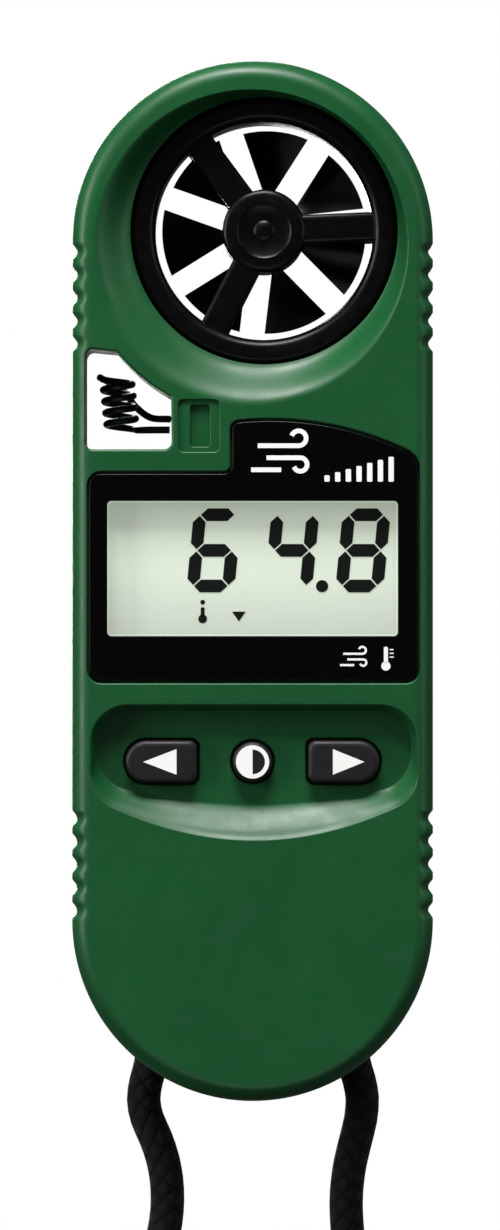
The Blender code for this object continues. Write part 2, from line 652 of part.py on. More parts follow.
def temperature_sensor():
    """A bare wire coil that stands free in the sensor window, on two leads from the right."""
    coil_x = -15.4
    turns = 4.5
    per_turn = 10
    pitch = 1.35
    low_z = 17.8
    coil = []
    count = int(turns * per_turn)
    for i in range(count + 1):
        turn = 2 * math.pi * i / per_turn
        z = low_z + pitch * i / per_turn
        coil.append((coil_x + 1.75 * math.cos(turn) - 0.1 * (z - low_z), 1.75 * math.sin(turn), z))
    lower_lead = [(WINDOW_RIGHT - GAP, -1.2, low_z), (-11.8, -1.0, low_z)]
    top = coil[-1]
    return_lead = [(top[0] - 0.3, 2.0, top[2] + 0.2), (-15.4, 3.0, 22.6), (-13.8, 3.0, 20.6),
                   (-12.0, 1.6, 19.3), (WINDOW_RIGHT - GAP, 0.2, 19.1)]
    route = lower_lead + coil + smooth_route(return_lead, 1.0)
    tube("temperature_sensor", route, 0.42, 2, "sensor_wire")
    block = box("sensor_lead_block", WINDOW_RIGHT + 0.05, -1.4, 16.8, -6.2, 0.5, 20.2)
    finish(block, "block_plastic")


# Lanyard

def lanyard():
    spacing = 4.5
    tube("lanyard_left", smooth_route(LEFT_ROUTE, spacing), CORD_RADIUS, 2, "lanyard_cord")
    tube("lanyard_right", smooth_route(RIGHT_ROUTE, spacing), CORD_RADIUS, 2, "lanyard_cord")
    for name, side in (("lanyard_anchor_left", -1), ("lanyard_anchor_right", 1)):
        x = side * CORD_HOLE_X
        anchor = cord_socket(name, x, CORD_RADIUS, CORD_START_Z + GAP, ANCHOR_TOP_Z, 16)
        finish(anchor, "anchor_metal")
    outlines = []
    for radius in (HANK_OUTER, HANK_INNER):
        outlines.append(arc(0, HANK_TOP_Z, radius, 0, 180, 16) + arc(0, HANK_BOTTOM_Z, radius, 180, 360, 16))
    outer, inner = outlines
    rings = [level(outer, HANK_Y0), level(outer, HANK_Y1), level(inner, HANK_Y1), level(inner, HANK_Y0)]
    finish(loft("lanyard_hank", rings, loop=True), "lanyard_cord")
    lanyard_tie()


def lanyard_tie():
    """A flat band round both sides of the hank, at the middle of its height."""
    middle = (HANK_TOP_Z + HANK_BOTTOM_Z) / 2
    half_height = 5.0
    grown = HANK_OUTER + GAP
    inner = rounded_rect(-grown, HANK_Y0 - GAP, grown, HANK_Y1 + GAP, 0.2, 1)
    outer = offset(inner, 1.1)
    rings = []
    for outline, z in ((outer, middle - half_height), (outer, middle + half_height),
                       (inner, middle + half_height), (inner, middle - half_height)):
        rings.append([(x, y, z) for x, y in outline])
    finish(loft("lanyard_tie", rings, loop=True), "tie_fabric")


clear_scene()
front_casing()
rear_casing()
casing_gasket()
casing_screws()
display()
electronics()
battery()
battery_door()
buttons()
impeller_housing("impeller_housing_front", -1)
impeller_housing("impeller_housing_rear", 1)
jewel_bearing("jewel_bearing_front", -1)
jewel_bearing("jewel_bearing_rear", 1)
impeller()
temperature_sensor()
lanyard()
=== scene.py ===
"""The looks of a handheld weather meter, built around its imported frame.

Shapes are made in millimetres, in the frame's own axes, and scaled to metres when a piece is
done: +Z up, the front faces -Y. Outlines are lists of (x, z) points, anticlockwise seen from
the front.
"""
import math

import bmesh
import bpy
from mathutils import Matrix, Vector


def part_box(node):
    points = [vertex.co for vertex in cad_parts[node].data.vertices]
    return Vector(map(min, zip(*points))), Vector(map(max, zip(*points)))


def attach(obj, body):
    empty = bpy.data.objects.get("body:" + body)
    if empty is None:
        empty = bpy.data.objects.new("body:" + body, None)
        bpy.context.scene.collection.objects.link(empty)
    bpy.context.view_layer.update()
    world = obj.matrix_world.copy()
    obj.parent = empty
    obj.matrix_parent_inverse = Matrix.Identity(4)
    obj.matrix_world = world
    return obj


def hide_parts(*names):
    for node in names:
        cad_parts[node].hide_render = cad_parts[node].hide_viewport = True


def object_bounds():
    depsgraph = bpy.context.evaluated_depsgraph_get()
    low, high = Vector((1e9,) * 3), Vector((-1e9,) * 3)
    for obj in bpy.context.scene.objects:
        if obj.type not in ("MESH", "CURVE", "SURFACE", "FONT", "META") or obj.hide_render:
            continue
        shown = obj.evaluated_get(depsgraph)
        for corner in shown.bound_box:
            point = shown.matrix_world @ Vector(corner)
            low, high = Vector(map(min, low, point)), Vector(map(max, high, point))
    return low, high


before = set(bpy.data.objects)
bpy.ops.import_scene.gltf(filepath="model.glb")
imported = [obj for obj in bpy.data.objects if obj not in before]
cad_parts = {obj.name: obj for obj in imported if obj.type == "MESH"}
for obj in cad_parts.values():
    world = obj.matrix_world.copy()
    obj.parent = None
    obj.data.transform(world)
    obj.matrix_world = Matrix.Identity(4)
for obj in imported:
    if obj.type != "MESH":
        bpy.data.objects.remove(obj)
cad_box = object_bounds()

MM = 0.001


def node_box(name):
    """A node's lowest and highest corners in millimetres."""
    low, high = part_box(name)
    return low / MM, high / MM


front_low, front_high = node_box("front_casing")
rear_low, rear_high = node_box("rear_casing")
bezel_low, bezel_high = node_box("display_bezel")
pane_low, pane_high = node_box("lcd_window")
lcd_low, lcd_high = node_box("lcd_panel")
ring_low, ring_high = node_box("impeller_housing_front")
door_low, door_high = node_box("battery_door")

# Casing
CASE_RADIUS = front_high.x
END_Z = front_high.z - CASE_RADIUS
FACE_Y = rear_high.y
FRONT_SEAM_Y = front_high.y
REAR_SEAM_Y = rear_low.y
EDGE_INSET = 2.2
EDGE_DEPTH = 2.6
WALL = 1.8
GRIP_FIRST_Z = 27.8
GRIP_PITCH = 2.7
GRIP_COUNT = 5
GRIP_DEPTH = 0.55
GRIP_HALF_WIDTH = 0.95

# Impeller and funnel
AXIS_X = (ring_low.x + ring_high.x) / 2
AXIS_Z = (ring_low.z + ring_high.z) / 2
RING_RADIUS = (ring_high.x - ring_low.x) / 2
RING_BORE = 12.8
RING_Y = -ring_low.y
BORE_RADIUS = RING_RADIUS + 0.3
FUNNEL_X = -0.25
FUNNEL_Z = 39.0
FUNNEL_RADIUS = 18.55
FUNNEL_DEPTH = 3.2
REAR_FUNNEL_DEPTH = 2.5
REAR_LIP_RADIUS = 15.0
HUB_RADIUS = 4.9
BLADE_RADIUS = 12.0
BLADE_COUNT = 7
BLADE_FIRST_ANGLE = 31.8
BLADE_SLOT = 2.95
BLADE_PITCH_Y = 2.2
STRUT_ANGLES = (2.5, 126.5, 243.0)

# Sensor window
WINDOW_LEFT = -19.65
WINDOW_RIGHT = -9.47
WINDOW_BOTTOM = 15.4
WINDOW_TOP = 27.1
WINDOW_ARC_RADIUS = 22.45

# Display
TAB_LEFT = -2.45
TAB_ARC_X = 2.05
TAB_ARC_Z = -18.4
TAB_ARC_RADIUS = 37.2
BEZEL_TOP = 12.6
DIGIT_TOP = 8.5
DIGIT_BOTTOM = -1.35
DIGIT_SLANT = math.tan(math.radians(5.5))
DIGIT_WIDTH = 5.65
SEGMENT = 1.5
SEGMENT_THICK = 0.06
PRINT_THICK = 0.03

# Keypad
FLOOR_Y = -6.6
KEY_TOP_Y = -8.3
BUTTON_Z = -21.2
KEYPAD_CORNER = 4.5     # lower corners of the recess
KEY_FLANGE = 0.9        # hidden rim behind the keypad floor

# Screws, as (x, z)
SCREWS = ((-3.2, 17.6), (16.2, 19.5), (-5.5, -51.5), (5.5, -51.5))

# Battery door
DOOR_Z = (door_low.z + door_high.z) / 2
DOOR_RADIUS = (door_high.x - door_low.x) / 2

# Lanyard, in millimetres: the two strands' routes and the hank's turns between them
CORD_RADIUS = 2.0
CORD_EXIT_X = 12.0
CORD_EXIT_Y = 5.2
LEFT_ROUTE = (
    (-12.0, 5.2, -53.5), (-12.0, 5.2, -56.8), (-12.6, 5.2, -59.2), (-12.9, 5.2, -61.4),
    (-12.5, 5.2, -63.6), (-11.5, 5.1, -65.9), (-10.6, 5.0, -68.6), (-10.1, 4.8, -72.0),
    (-10.3, 4.5, -76.0), (-11.5, 4.1, -80.8), (-13.6, 3.8, -87.2), (-15.4, 3.5, -93.6),
)
RIGHT_ROUTE = (
    (12.0, 5.2, -53.5), (12.0, 5.2, -56.8), (12.6, 5.2, -59.0), (13.0, 5.2, -61.2),
    (12.8, 5.3, -63.8), (12.1, 5.5, -66.7), (11.4, 5.8, -70.0), (11.1, 6.1, -73.8),
    (11.4, 6.4, -78.5), (12.1, 6.7, -83.5), (13.2, 6.9, -90.0), (13.8, 7.0, -95.5),
)
HANK_TURNS = ((16.0, 3.4), (12.0, 3.4), (8.0, 3.4), (10.0, 7.0), (14.0, 7.0))   # radius, depth
HANK_TOP_Z = -99.5
HANK_BOTTOM_Z = -145.5


# Outlines

def arc(cx, cz, radius, start, end, steps):
    """Points on a circle from start to end, in degrees, with both ends."""
    turn = [math.radians(start + (end - start) * i / steps) for i in range(steps + 1)]
    return [(cx + radius * math.cos(a), cz + radius * math.sin(a)) for a in turn]


def circle(cx, cz, radius, segments=64):
    return arc(cx, cz, radius, 0, 360, segments)[:-1]


def rounded_rect(x0, z0, x1, z1, radius, steps=6):
    return (arc(x1 - radius, z0 + radius, radius, -90, 0, steps)
            + arc(x1 - radius, z1 - radius, radius, 0, 90, steps)
            + arc(x0 + radius, z1 - radius, radius, 90, 180, steps)
            + arc(x0 + radius, z0 + radius, radius, 180, 270, steps))


def offset(outline, distance):
    """The outline moved outwards by distance, with mitred corners."""
    moved = []
    for i, point in enumerate(outline):
        before = Vector(point) - Vector(outline[i - 1])
        after = Vector(outline[(i + 1) % len(outline)]) - Vector(point)
        normal_a = Vector((before.y, -before.x)).normalized()
        normal_b = Vector((after.y, -after.x)).normalized()
        mitre = (normal_a + normal_b) / (1 + normal_a.dot(normal_b))
        moved.append(tuple(Vector(point) + mitre * distance))
    return moved


def between(first, second, share):
    return [tuple(Vector(a).lerp(Vector(b), share)) for a, b in zip(first, second)]


def grip_heights():
    """(height, depth share) along one side, from bottom to top, with round scallops."""
    places = [sign * (GRIP_FIRST_Z + GRIP_PITCH * i) for sign in (-1, 1) for i in range(GRIP_COUNT)]
    steps = [-1 + i / 4 for i in range(9)]
    shape = [(step, (0.5 + 0.5 * math.cos(math.pi * step)) ** 0.6) for step in steps]
    return [(z + GRIP_HALF_WIDTH * step, share) for z in sorted(places) for step, share in shape]


def cavity_outline():
    """The room inside the casing, below the impeller."""
    side = CASE_RADIUS - WALL
    return rounded_rect(-side, -46.0, side, 13.6, 2.0)


def casing_outline(inset=0.0, grip=0.0, end_steps=72):
    radius = CASE_RADIUS - inset
    side = [(radius - grip * share, z) for z, share in grip_heights()]
    return (side + arc(0, END_Z, radius, 0, 180, end_steps)
            + [(-x, z) for x, z in reversed(side)]
            + arc(0, -END_Z, radius, 180, 360, end_steps))


def window_outline():
    """The sensor window: square at its lower left, cut by an arc about the impeller."""
    corner = 0.9
    return (arc(WINDOW_RIGHT - corner, WINDOW_BOTTOM + corner, corner, -90, 0, 6)
            + arc(AXIS_X, AXIS_Z, WINDOW_ARC_RADIUS, 241.0, 219.5, 14)
            + arc(WINDOW_LEFT + corner, WINDOW_TOP - corner, corner, 90, 180, 6)
            + arc(WINDOW_LEFT + corner, WINDOW_BOTTOM + corner, corner, 180, 270, 6))


def bezel_outline():
    """The display bezel: a rounded rectangle with an arched tab at its upper right."""
    corner = 1.5
    small = 0.9
    low = bezel_low.z + corner
    right = bezel_high.x
    left = bezel_low.x
    return (arc(right - corner, low, corner, -90, 0, 8)
            + arc(right - 2.0, 13.2, 2.0, 0, 62, 8)
            + arc(TAB_ARC_X, TAB_ARC_Z, TAB_ARC_RADIUS, 64.0, 95.6, 24)
            + arc(TAB_LEFT + small, 17.7, small, 96, 180, 6)
            + arc(TAB_LEFT - small, BEZEL_TOP + small, small, 0, -90, 6)
            + arc(left + corner, BEZEL_TOP - corner, corner, 90, 180, 8)
            + arc(left + corner, low, corner, 180, 270, 8))


def keypad_outline(left, right, top, top_corner, end_z, middle_z):
    """The keypad recess: round upper corners and a lower edge that bows downwards."""
    corner = KEYPAD_CORNER
    middle = (right + left) / 2
    half = (right - left) / 2 - corner
    for _ in range(5):
        slope = math.atan2(2 * (end_z - middle_z), half)
        half = (right - left) / 2 - corner * (1 - math.sin(slope))
    bow = [(middle + half * u, middle_z + (end_z - middle_z) * u * u)
           for u in (-1 + i / 24 for i in range(49))]
    centre_z = end_z + corner * math.cos(slope)
    turn = math.degrees(slope)
    return (bow + arc(right - corner, centre_z, corner, turn - 90, 0, 14)[1:]
            + arc(right - top_corner, top - top_corner, top_corner, 0, 90, 12)
            + arc(left + top_corner, top - top_corner, top_corner, 90, 180, 12)
            + arc(left + corner, centre_z, corner, 180, 270 - turn, 14)[:-1])


def side_button_outline(name, grow=0.0):
    """A D-shaped key with a half-round outer end, read from its node's own box."""
    low, high = node_box(name)
    flange = KEY_FLANGE - grow
    left, right = low.x + flange, high.x - flange
    bottom, top = low.z + flange, high.z - flange
    middle = (top + bottom) / 2
    radius = (top - bottom) / 2
    corner = 0.9
    if name.endswith("right"):
        return (arc(right - radius, middle, radius, -90, 90, 24)
                + arc(left + corner, top - corner, corner, 90, 180, 6)
                + arc(left + corner, bottom + corner, corner, 180, 270, 6))
    return (arc(right - corner, bottom + corner, corner, -90, 0, 6)
            + arc(right - corner, top - corner, corner, 0, 90, 6)
            + arc(left + radius, middle, radius, 90, 270, 24))


# Solids

def level(outline, y):
    return [(x, y, z) for x, z in outline]


def new_object(name, bm):
    bmesh.ops.recalc_face_normals(bm, faces=bm.faces)
    mesh = bpy.data.meshes.new(name)
    bm.to_mesh(mesh)
    bm.free()
    piece = bpy.data.objects.new(name, mesh)
    bpy.context.scene.collection.objects.link(piece)
    return piece


def loft(name, rings, loop=False):
    """A closed solid through rings of equal length. A loop joins the last ring to the first."""
    bm = bmesh.new()
    made = [[bm.verts.new(point) for point in ring] for ring in rings]
    count = len(made[0])
    pairs = list(zip(made, made[1:]))
    if loop:
        pairs.append((made[-1], made[0]))
    else:
        bm.faces.new(made[0])
        bm.faces.new(made[-1])
    for first, second in pairs:
        for i in range(count):
            j = (i + 1) % count
            bm.faces.new((first[i], first[j], second[j], second[i]))
    return new_object(name, bm)


def prism(name, outline, y0, y1):
    return loft(name, [level(outline, y0), level(outline, y1)])


def turned(name, profile, cx, cz, segments=64, loop=False):
    """A body of (radius, y) profile about an axis along Y through (cx, cz)."""
    return loft(name, [level(circle(cx, cz, r, segments), y) for r, y in profile], loop)


def fillet(radius, y_outer, inward, steps=4):
    """(offset, y) pairs that round the mouth of a pocket whose wall runs inward along Y."""
    pairs = []
    for i in range(steps + 1):
        turn = math.pi / 2 * i / steps
        sunk = radius * (1 - math.cos(turn))
        pairs.append((radius * (1 - math.sin(turn)), y_outer + inward * sunk))
    return pairs


def pocket(name, outline, y_face, y_floor, radius):
    """A cutter for a pocket or a way through, with a rounded mouth at y_face."""
    inward = 1 if y_floor > y_face else -1
    rings = [level(offset(outline, radius), y_face - inward)]
    rings += [level(offset(outline, grow), y) for grow, y in fillet(radius, y_face, inward)]
    rings.append(level(outline, y_floor))
    return loft(name, rings)


def slab(name, outline, y_back, y_front, radius):
    """A plate with its front edge rounded."""
    outward = 1 if y_front > y_back else -1
    rings = [level(outline, y_back)]
    for i in range(5):
        turn = math.pi / 2 * i / 4
        inset = radius * (1 - math.cos(turn))
        sunk = radius * (1 - math.sin(turn))
        rings.append(level(offset(outline, -inset), y_front - outward * sunk))
    return loft(name, rings)


def combine(target, tool, operation):
    modifier = target.modifiers.new(operation.lower(), "BOOLEAN")
    modifier.operation = operation
    modifier.object = tool
    depsgraph = bpy.context.evaluated_depsgraph_get()
    result = bpy.data.meshes.new_from_object(target.evaluated_get(depsgraph))
    target.modifiers.clear()
    target.data = result
    bpy.data.objects.remove(tool)


def cut(target, *tools):
    for tool in tools:
        combine(target, tool, "DIFFERENCE")


def join(target, *tools):
    for tool in tools:
        combine(target, tool, "UNION")


def gather(name, pieces):
    """Separate closed solids as one object."""
    bm = bmesh.new()
    for piece in pieces:
        bm.from_mesh(piece.data)
        bpy.data.objects.remove(piece)
    return new_object(name, bm)


def finish(piece, body, material, nodes=(), angle=35, weighted=True):
    """Scale a piece to metres, shade it, and hand it to its body."""
    piece.data.transform(Matrix.Scale(MM, 4))
    piece.data.materials.clear()
    piece.data.materials.append(material)
    piece.data.shade_smooth()
    piece.data.set_sharp_from_angle(angle=math.radians(angle))
    if weighted:
        modifier = piece.modifiers.new("normals", "WEIGHTED_NORMAL")
        modifier.keep_sharp = True
        modifier.weight = 80
    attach(piece, body)
    if nodes:
        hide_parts(*nodes)
    return piece


# Materials

def link(tree, source, target):
    tree.links.new(source, target)


def noise(tree, coordinates, scale, detail=3.0, rough=0.5):
    node = tree.nodes.new("ShaderNodeTexNoise")
    node.inputs["Scale"].default_value = scale
    node.inputs["Detail"].default_value = detail
    node.inputs["Roughness"].default_value = rough
    link(tree, coordinates, node.inputs["Vector"])
    return node.outputs["Fac"]


def spread(tree, value, low, high):
    """A noise value brought into the range from low to high."""
    node = tree.nodes.new("ShaderNodeMapRange")
    node.inputs["From Min"].default_value = 0.3
    node.inputs["From Max"].default_value = 0.7
    node.inputs["To Min"].default_value = low
    node.inputs["To Max"].default_value = high
    link(tree, value, node.inputs["Value"])
    return node.outputs["Result"]


def ramp(tree, value, stops):
    node = tree.nodes.new("ShaderNodeValToRGB")
    while len(node.color_ramp.elements) < len(stops):
        node.color_ramp.elements.new(0.5)
    for element, (place, colour) in zip(node.color_ramp.elements, stops):
        element.position = place
        element.color = (*colour, 1)
    link(tree, value, node.inputs["Fac"])
    return node.outputs["Color"]


def shades(colour, amount):
    """Three stops around a colour: a darker, the plain and a lighter shade."""
    return ((0.3, [c * (1 - amount) for c in colour]), (0.5, colour),
            (0.7, [c * (1 + amount) for c in colour]))


def bump(tree, height, distance, strength, normal=None):
    node = tree.nodes.new("ShaderNodeBump")
    node.inputs["Strength"].default_value = strength
    node.inputs["Distance"].default_value = distance
    link(tree, height, node.inputs["Height"])
    if normal:
        link(tree, normal, node.inputs["Normal"])
    return node.outputs["Normal"]


def open_material(made):
    """A material's node tree, its shader and its object coordinates."""
    tree = made.node_tree
    place = tree.nodes.new("ShaderNodeTexCoord").outputs["Object"]
    return tree, tree.nodes["Principled BSDF"], place


def components(tree, vector):
    node = tree.nodes.new("ShaderNodeSeparateXYZ")
    link(tree, vector, node.inputs["Vector"])
    return node.outputs


def surface(name, colour, roughness, metallic=0.0, vary=0.06, patch=140.0, grain=9000.0,
            depth=0.00002, strength=0.25, rough_vary=0.05, **sockets):
    """A moulded or machined surface: soft colour patches, fine grain and uneven gloss."""
    made = bpy.data.materials.new(name)
    made.use_nodes = True
    tree, shader, place = open_material(made)
    shader.inputs["Metallic"].default_value = metallic
    for socket, value in sockets.items():
        shader.inputs[socket.replace("_", " ")].default_value = value
    patches = noise(tree, place, patch)
    link(tree, ramp(tree, patches, shades(colour, vary)), shader.inputs["Base Color"])
    gloss = noise(tree, place, patch * 4.3, 4.0)
    link(tree, spread(tree, gloss, roughness - rough_vary, roughness + rough_vary),
                shader.inputs["Roughness"])
    fine = noise(tree, place, grain, 2.0)
    link(tree, bump(tree, fine, depth, strength), shader.inputs["Normal"])
    made.diffuse_color = (*colour, 1)
    return made


def brushed(name, colour, roughness, along):
    """Metal with fine scratches; along scales the noise per axis, small along the scratches."""
    made = surface(name, colour, roughness, 1.0, vary=0.05, grain=5000.0)
    tree, shader, place = open_material(made)
    stretch = tree.nodes.new("ShaderNodeMapping")
    stretch.inputs["Scale"].default_value = along
    link(tree, place, stretch.inputs["Vector"])
    lines = noise(tree, stretch.outputs["Vector"], 6000.0, 2.0)
    link(tree, bump(tree, lines, 0.00001, 0.3), shader.inputs["Normal"])
    return made


def math_node(tree, operation, first, second=None):
    node = tree.nodes.new("ShaderNodeMath")
    node.operation = operation
    for socket, value in zip(node.inputs, (first, second)):
        if isinstance(value, (int, float)):
            socket.default_value = value
        elif value is not None:
            link(tree, value, socket)
    return node.outputs["Value"]


def braid(name, colour, around, per_metre):
    """Plaited yarn on a tube: U runs along it in metres and V once around it."""
    made = bpy.data.materials.new(name)
    made.use_nodes = True
    tree = made.node_tree
    shader = tree.nodes["Principled BSDF"]
    shader.inputs["Roughness"].default_value = 0.82
    shader.inputs["Sheen Weight"].default_value = 0.12
    shader.inputs["Specular IOR Level"].default_value = 0.3
    shader.inputs["Sheen Roughness"].default_value = 0.4
    texture = tree.nodes.new("ShaderNodeTexCoord")
    lanes = components(tree, texture.outputs["UV"])
    along = math_node(tree, "MULTIPLY", lanes["X"], per_metre)
    turn = math_node(tree, "MULTIPLY", lanes["Y"], float(around))
    plaits = []
    for operation in ("ADD", "SUBTRACT"):
        lane = math_node(tree, operation, along, turn)
        wave = math_node(tree, "SINE", math_node(tree, "MULTIPLY", lane, math.pi))
        plaits.append(math_node(tree, "ABSOLUTE", wave))
    plait = math_node(tree, "POWER", math_node(tree, "MULTIPLY", *plaits), 0.6)
    fibres = noise(tree, texture.outputs["Object"], 14000.0, 2.0)
    height = math_node(tree, "ADD", plait, math_node(tree, "MULTIPLY", fibres, 0.25))
    link(tree, bump(tree, height, 0.00035, 0.9), shader.inputs["Normal"])
    # Painted shade and highlight: the yarn is coloured darker in the plait's valleys and lighter on
    # its crests, following the bump's height.
    dark = [c * 0.35 for c in colour]
    light = [c * 1.7 for c in colour]
    link(tree, ramp(tree, plait, ((0.1, dark), (0.55, colour), (0.95, light))),
                shader.inputs["Base Color"])
    made.diffuse_color = (*colour, 1)
    return made


def weave(name, colour, threads_per_metre):
    """Woven tape: over and under threads as a checked bump."""
    made = surface(name, colour, 0.85, grain=12000.0, strength=0.5, Sheen_Weight=0.2)
    tree, shader, place = open_material(made)
    threads = components(tree, place)
    waves = []
    for axis in ("X", "Z"):
        lane = math_node(tree, "MULTIPLY", threads[axis], threads_per_metre * math.pi)
        waves.append(math_node(tree, "SINE", lane))
    height = math_node(tree, "MULTIPLY", *waves)
    link(tree, bump(tree, height, 0.0002, 0.7), shader.inputs["Normal"])
    return made


def clear_pane(name):
    """Clear plastic: nearly all of what lies behind shows, under a thin gloss."""
    made = surface(name, (0.02, 0.022, 0.02), 0.06, vary=0.01, rough_vary=0.02,
                   depth=0.000002, strength=0.1)
    made.node_tree.nodes["Principled BSDF"].inputs["Alpha"].default_value = 0.12
    return made


def display_back(name):
    """The reflector behind the liquid crystal: pale grey-green, with painted shade from the bezel
    that darkens it towards its top and bottom, and a painted glow from its own emission.
    """
    made = surface(name, (0.60, 0.70, 0.57), 0.55, patch=60.0, grain=16000.0, strength=0.1)
    tree, shader, place = open_material(made)
    height = tree.nodes.new("ShaderNodeMapRange")
    height.inputs["From Min"].default_value = pane_low.z * MM
    height.inputs["From Max"].default_value = pane_high.z * MM
    link(tree, components(tree, place)["Z"], height.inputs["Value"])
    # Painted shade: the colour darkens towards the top and bottom of the cell, where the bezel
    # shades it.
    painted_shade_and_glow = ramp(tree, height.outputs["Result"],
                ((0.0, (0.60, 0.66, 0.57)), (0.45, (0.74, 0.83, 0.69)), (0.8, (0.71, 0.80, 0.66)),
                 (1.0, (0.64, 0.73, 0.59))))
    link(tree, painted_shade_and_glow, shader.inputs["Base Color"])
    # Painted glow: the same colour is emitted, so the cell lights itself beyond what its lamps
    # give.
    link(tree, painted_shade_and_glow, shader.inputs["Emission Color"])
    shader.inputs["Emission Strength"].default_value = 0.58
    return made


GREEN = surface("green_plastic", (0.0060, 0.088, 0.023), 0.40, vary=0.07, patch=90.0, grain=5200.0,
                depth=0.00003, strength=0.22, rough_vary=0.05, Specular_IOR_Level=0.42)
DOOR_GREEN = surface("door_plastic", (0.0058, 0.082, 0.021), 0.42, grain=5200.0, depth=0.00003)
GASKET = surface("gasket_rubber_fine", (0.008, 0.022, 0.012), 0.75, strength=0.5)
STEEL = brushed("screw_steel_fine", (0.5, 0.5, 0.51), 0.3, (1.0, 1.0, 0.08))
BEZEL_BLACK = surface("bezel_print", (0.0008, 0.0008, 0.0012), 0.26, vary=0.1, depth=0.00001,
                      strength=0.12, Specular_IOR_Level=0.15)
PANE = clear_pane("clear_pane_plastic")
# The display cell carries painted shade and a painted glow.
DISPLAY_PAINTED_GLOW = display_back("display_reflector_painted_glow")
SEGMENTS = surface("display_segments", (0.004, 0.007, 0.004), 0.45, vary=0.1,
                   Specular_IOR_Level=0.2)
# Painted glow: the print emits a faint white light of its own, so it reads whiter than its lamps
# make it.
PRINT_PAINTED_GLOW = surface("pale_print_painted_glow", (0.86, 0.86, 0.84), 0.55, vary=0.03, grain=12000.0, strength=0.3,
                Emission_Color=(1, 1, 0.98, 1), Emission_Strength=0.16)
KEY_RUBBER = surface("key_rubber", (0.010, 0.0095, 0.012), 0.48, vary=0.1, grain=7000.0,
                     depth=0.00004, strength=0.3, Specular_IOR_Level=0.35)
RING_BLACK = surface("ring_plastic", (0.0010, 0.0010, 0.0012), 0.32, vary=0.12, depth=0.00002,
                     Specular_IOR_Level=0.2)
BLADE_BLACK = surface("blade_plastic", (0.0020, 0.0019, 0.0021), 0.58, vary=0.12, depth=0.00002,
                      Specular_IOR_Level=0.2)
WIRE = surface("sensor_coating", (0.016, 0.015, 0.014), 0.38, vary=0.2, patch=900.0, strength=0.5)
CORD = braid("braided_cord", (0.004, 0.004, 0.0044), 5, 420.0)
TAPE = weave("woven_tape", (0.006, 0.006, 0.0065), 1400.0)
FLOOR = surface("pale_paper", (0.22, 0.22, 0.218), 0.9, vary=0.01, patch=4.0, grain=600.0,
                strength=0.05, Emission_Color=(1, 1, 0.99, 1), Emission_Strength=0.60)

# Material of each CAD node that is shown as it is
CARRIED = {
    "contact_strip_upper": surface("strip_silicone", (0.70, 0.42, 0.52), 0.65),
    "circuit_board": surface("solder_resist", (0.015, 0.11, 0.04), 0.35,
                             patch=700.0, vary=0.25),
    "controller_chip": surface("chip_epoxy", (0.014, 0.014, 0.015), 0.5, strength=0.5),
    "rotation_pickup": surface("pickup_epoxy", (0.04, 0.04, 0.045), 0.45),
    "keypad_mat": surface("mat_silicone", (0.09, 0.09, 0.10), 0.7),
    "coin_cell": brushed("cell_nickel", (0.66, 0.65, 0.62), 0.25, (0.08, 1.0, 1.0)),
    "battery_contact_positive": brushed("contact_brass", (0.74, 0.60, 0.34), 0.3, (1.0, 1.0, 0.08)),
    "battery_door_seal": surface("seal_nitrile", (0.012, 0.012, 0.012), 0.55, strength=0.4),
    "jewel_bearing_front": surface("jewel_ruby", (0.55, 0.035, 0.09), 0.08,
                                   rough_vary=0.03, strength=0.05),
    "impeller_axle": brushed("axle_polish", (0.56, 0.56, 0.57), 0.18, (1.0, 0.08, 1.0)),
    "impeller_magnet": brushed("magnet_nickel", (0.4, 0.4, 0.41), 0.35, (0.3, 1.0, 1.0)),
    "sensor_lead_block": surface("block_nylon", (0.035, 0.035, 0.037), 0.5),
    "lanyard_anchor_left": brushed("anchor_steel", (0.60, 0.60, 0.58), 0.3, (1.0, 1.0, 0.08)),
}
CARRIED["contact_strip_lower"] = CARRIED["contact_strip_upper"]
CARRIED["battery_contact_negative"] = CARRIED["battery_contact_positive"]
CARRIED["jewel_bearing_rear"] = CARRIED["jewel_bearing_front"]
CARRIED["lanyard_anchor_right"] = CARRIED["lanyard_anchor_left"]


# Camera, lights and stage

def camera():
    """A long lens square to the front; the casing fills most of the tall frame."""
    distance = 1.1
    frame_height = 0.1439
    centre_x, centre_z = -0.0003, -0.0040
    data = bpy.data.cameras.new("camera")
    data.sensor_width = 36.0
    data.lens = data.sensor_width * distance / frame_height
    data.clip_start = 0.01
    made = bpy.data.objects.new("camera", data)
    made.location = (centre_x, front_low.y * MM - distance, centre_z)
    made.rotation_euler = (math.radians(90), 0, 0)
    bpy.context.scene.collection.objects.link(made)
    bpy.context.scene.camera = made


def softbox(name, place, target, width, height, power):
    """A rectangular lamp at place, turned to target, that the camera doesn't see."""
    data = bpy.data.lights.new(name, "AREA")
    data.shape = "RECTANGLE"
    data.size = width
    data.size_y = height
    data.energy = power
    made = bpy.data.objects.new(name, data)
    made.location = place
    made.rotation_euler = (Vector(target) - Vector(place)).to_track_quat("-Z", "Y").to_euler()
    made.visible_camera = False
    bpy.context.scene.collection.objects.link(made)


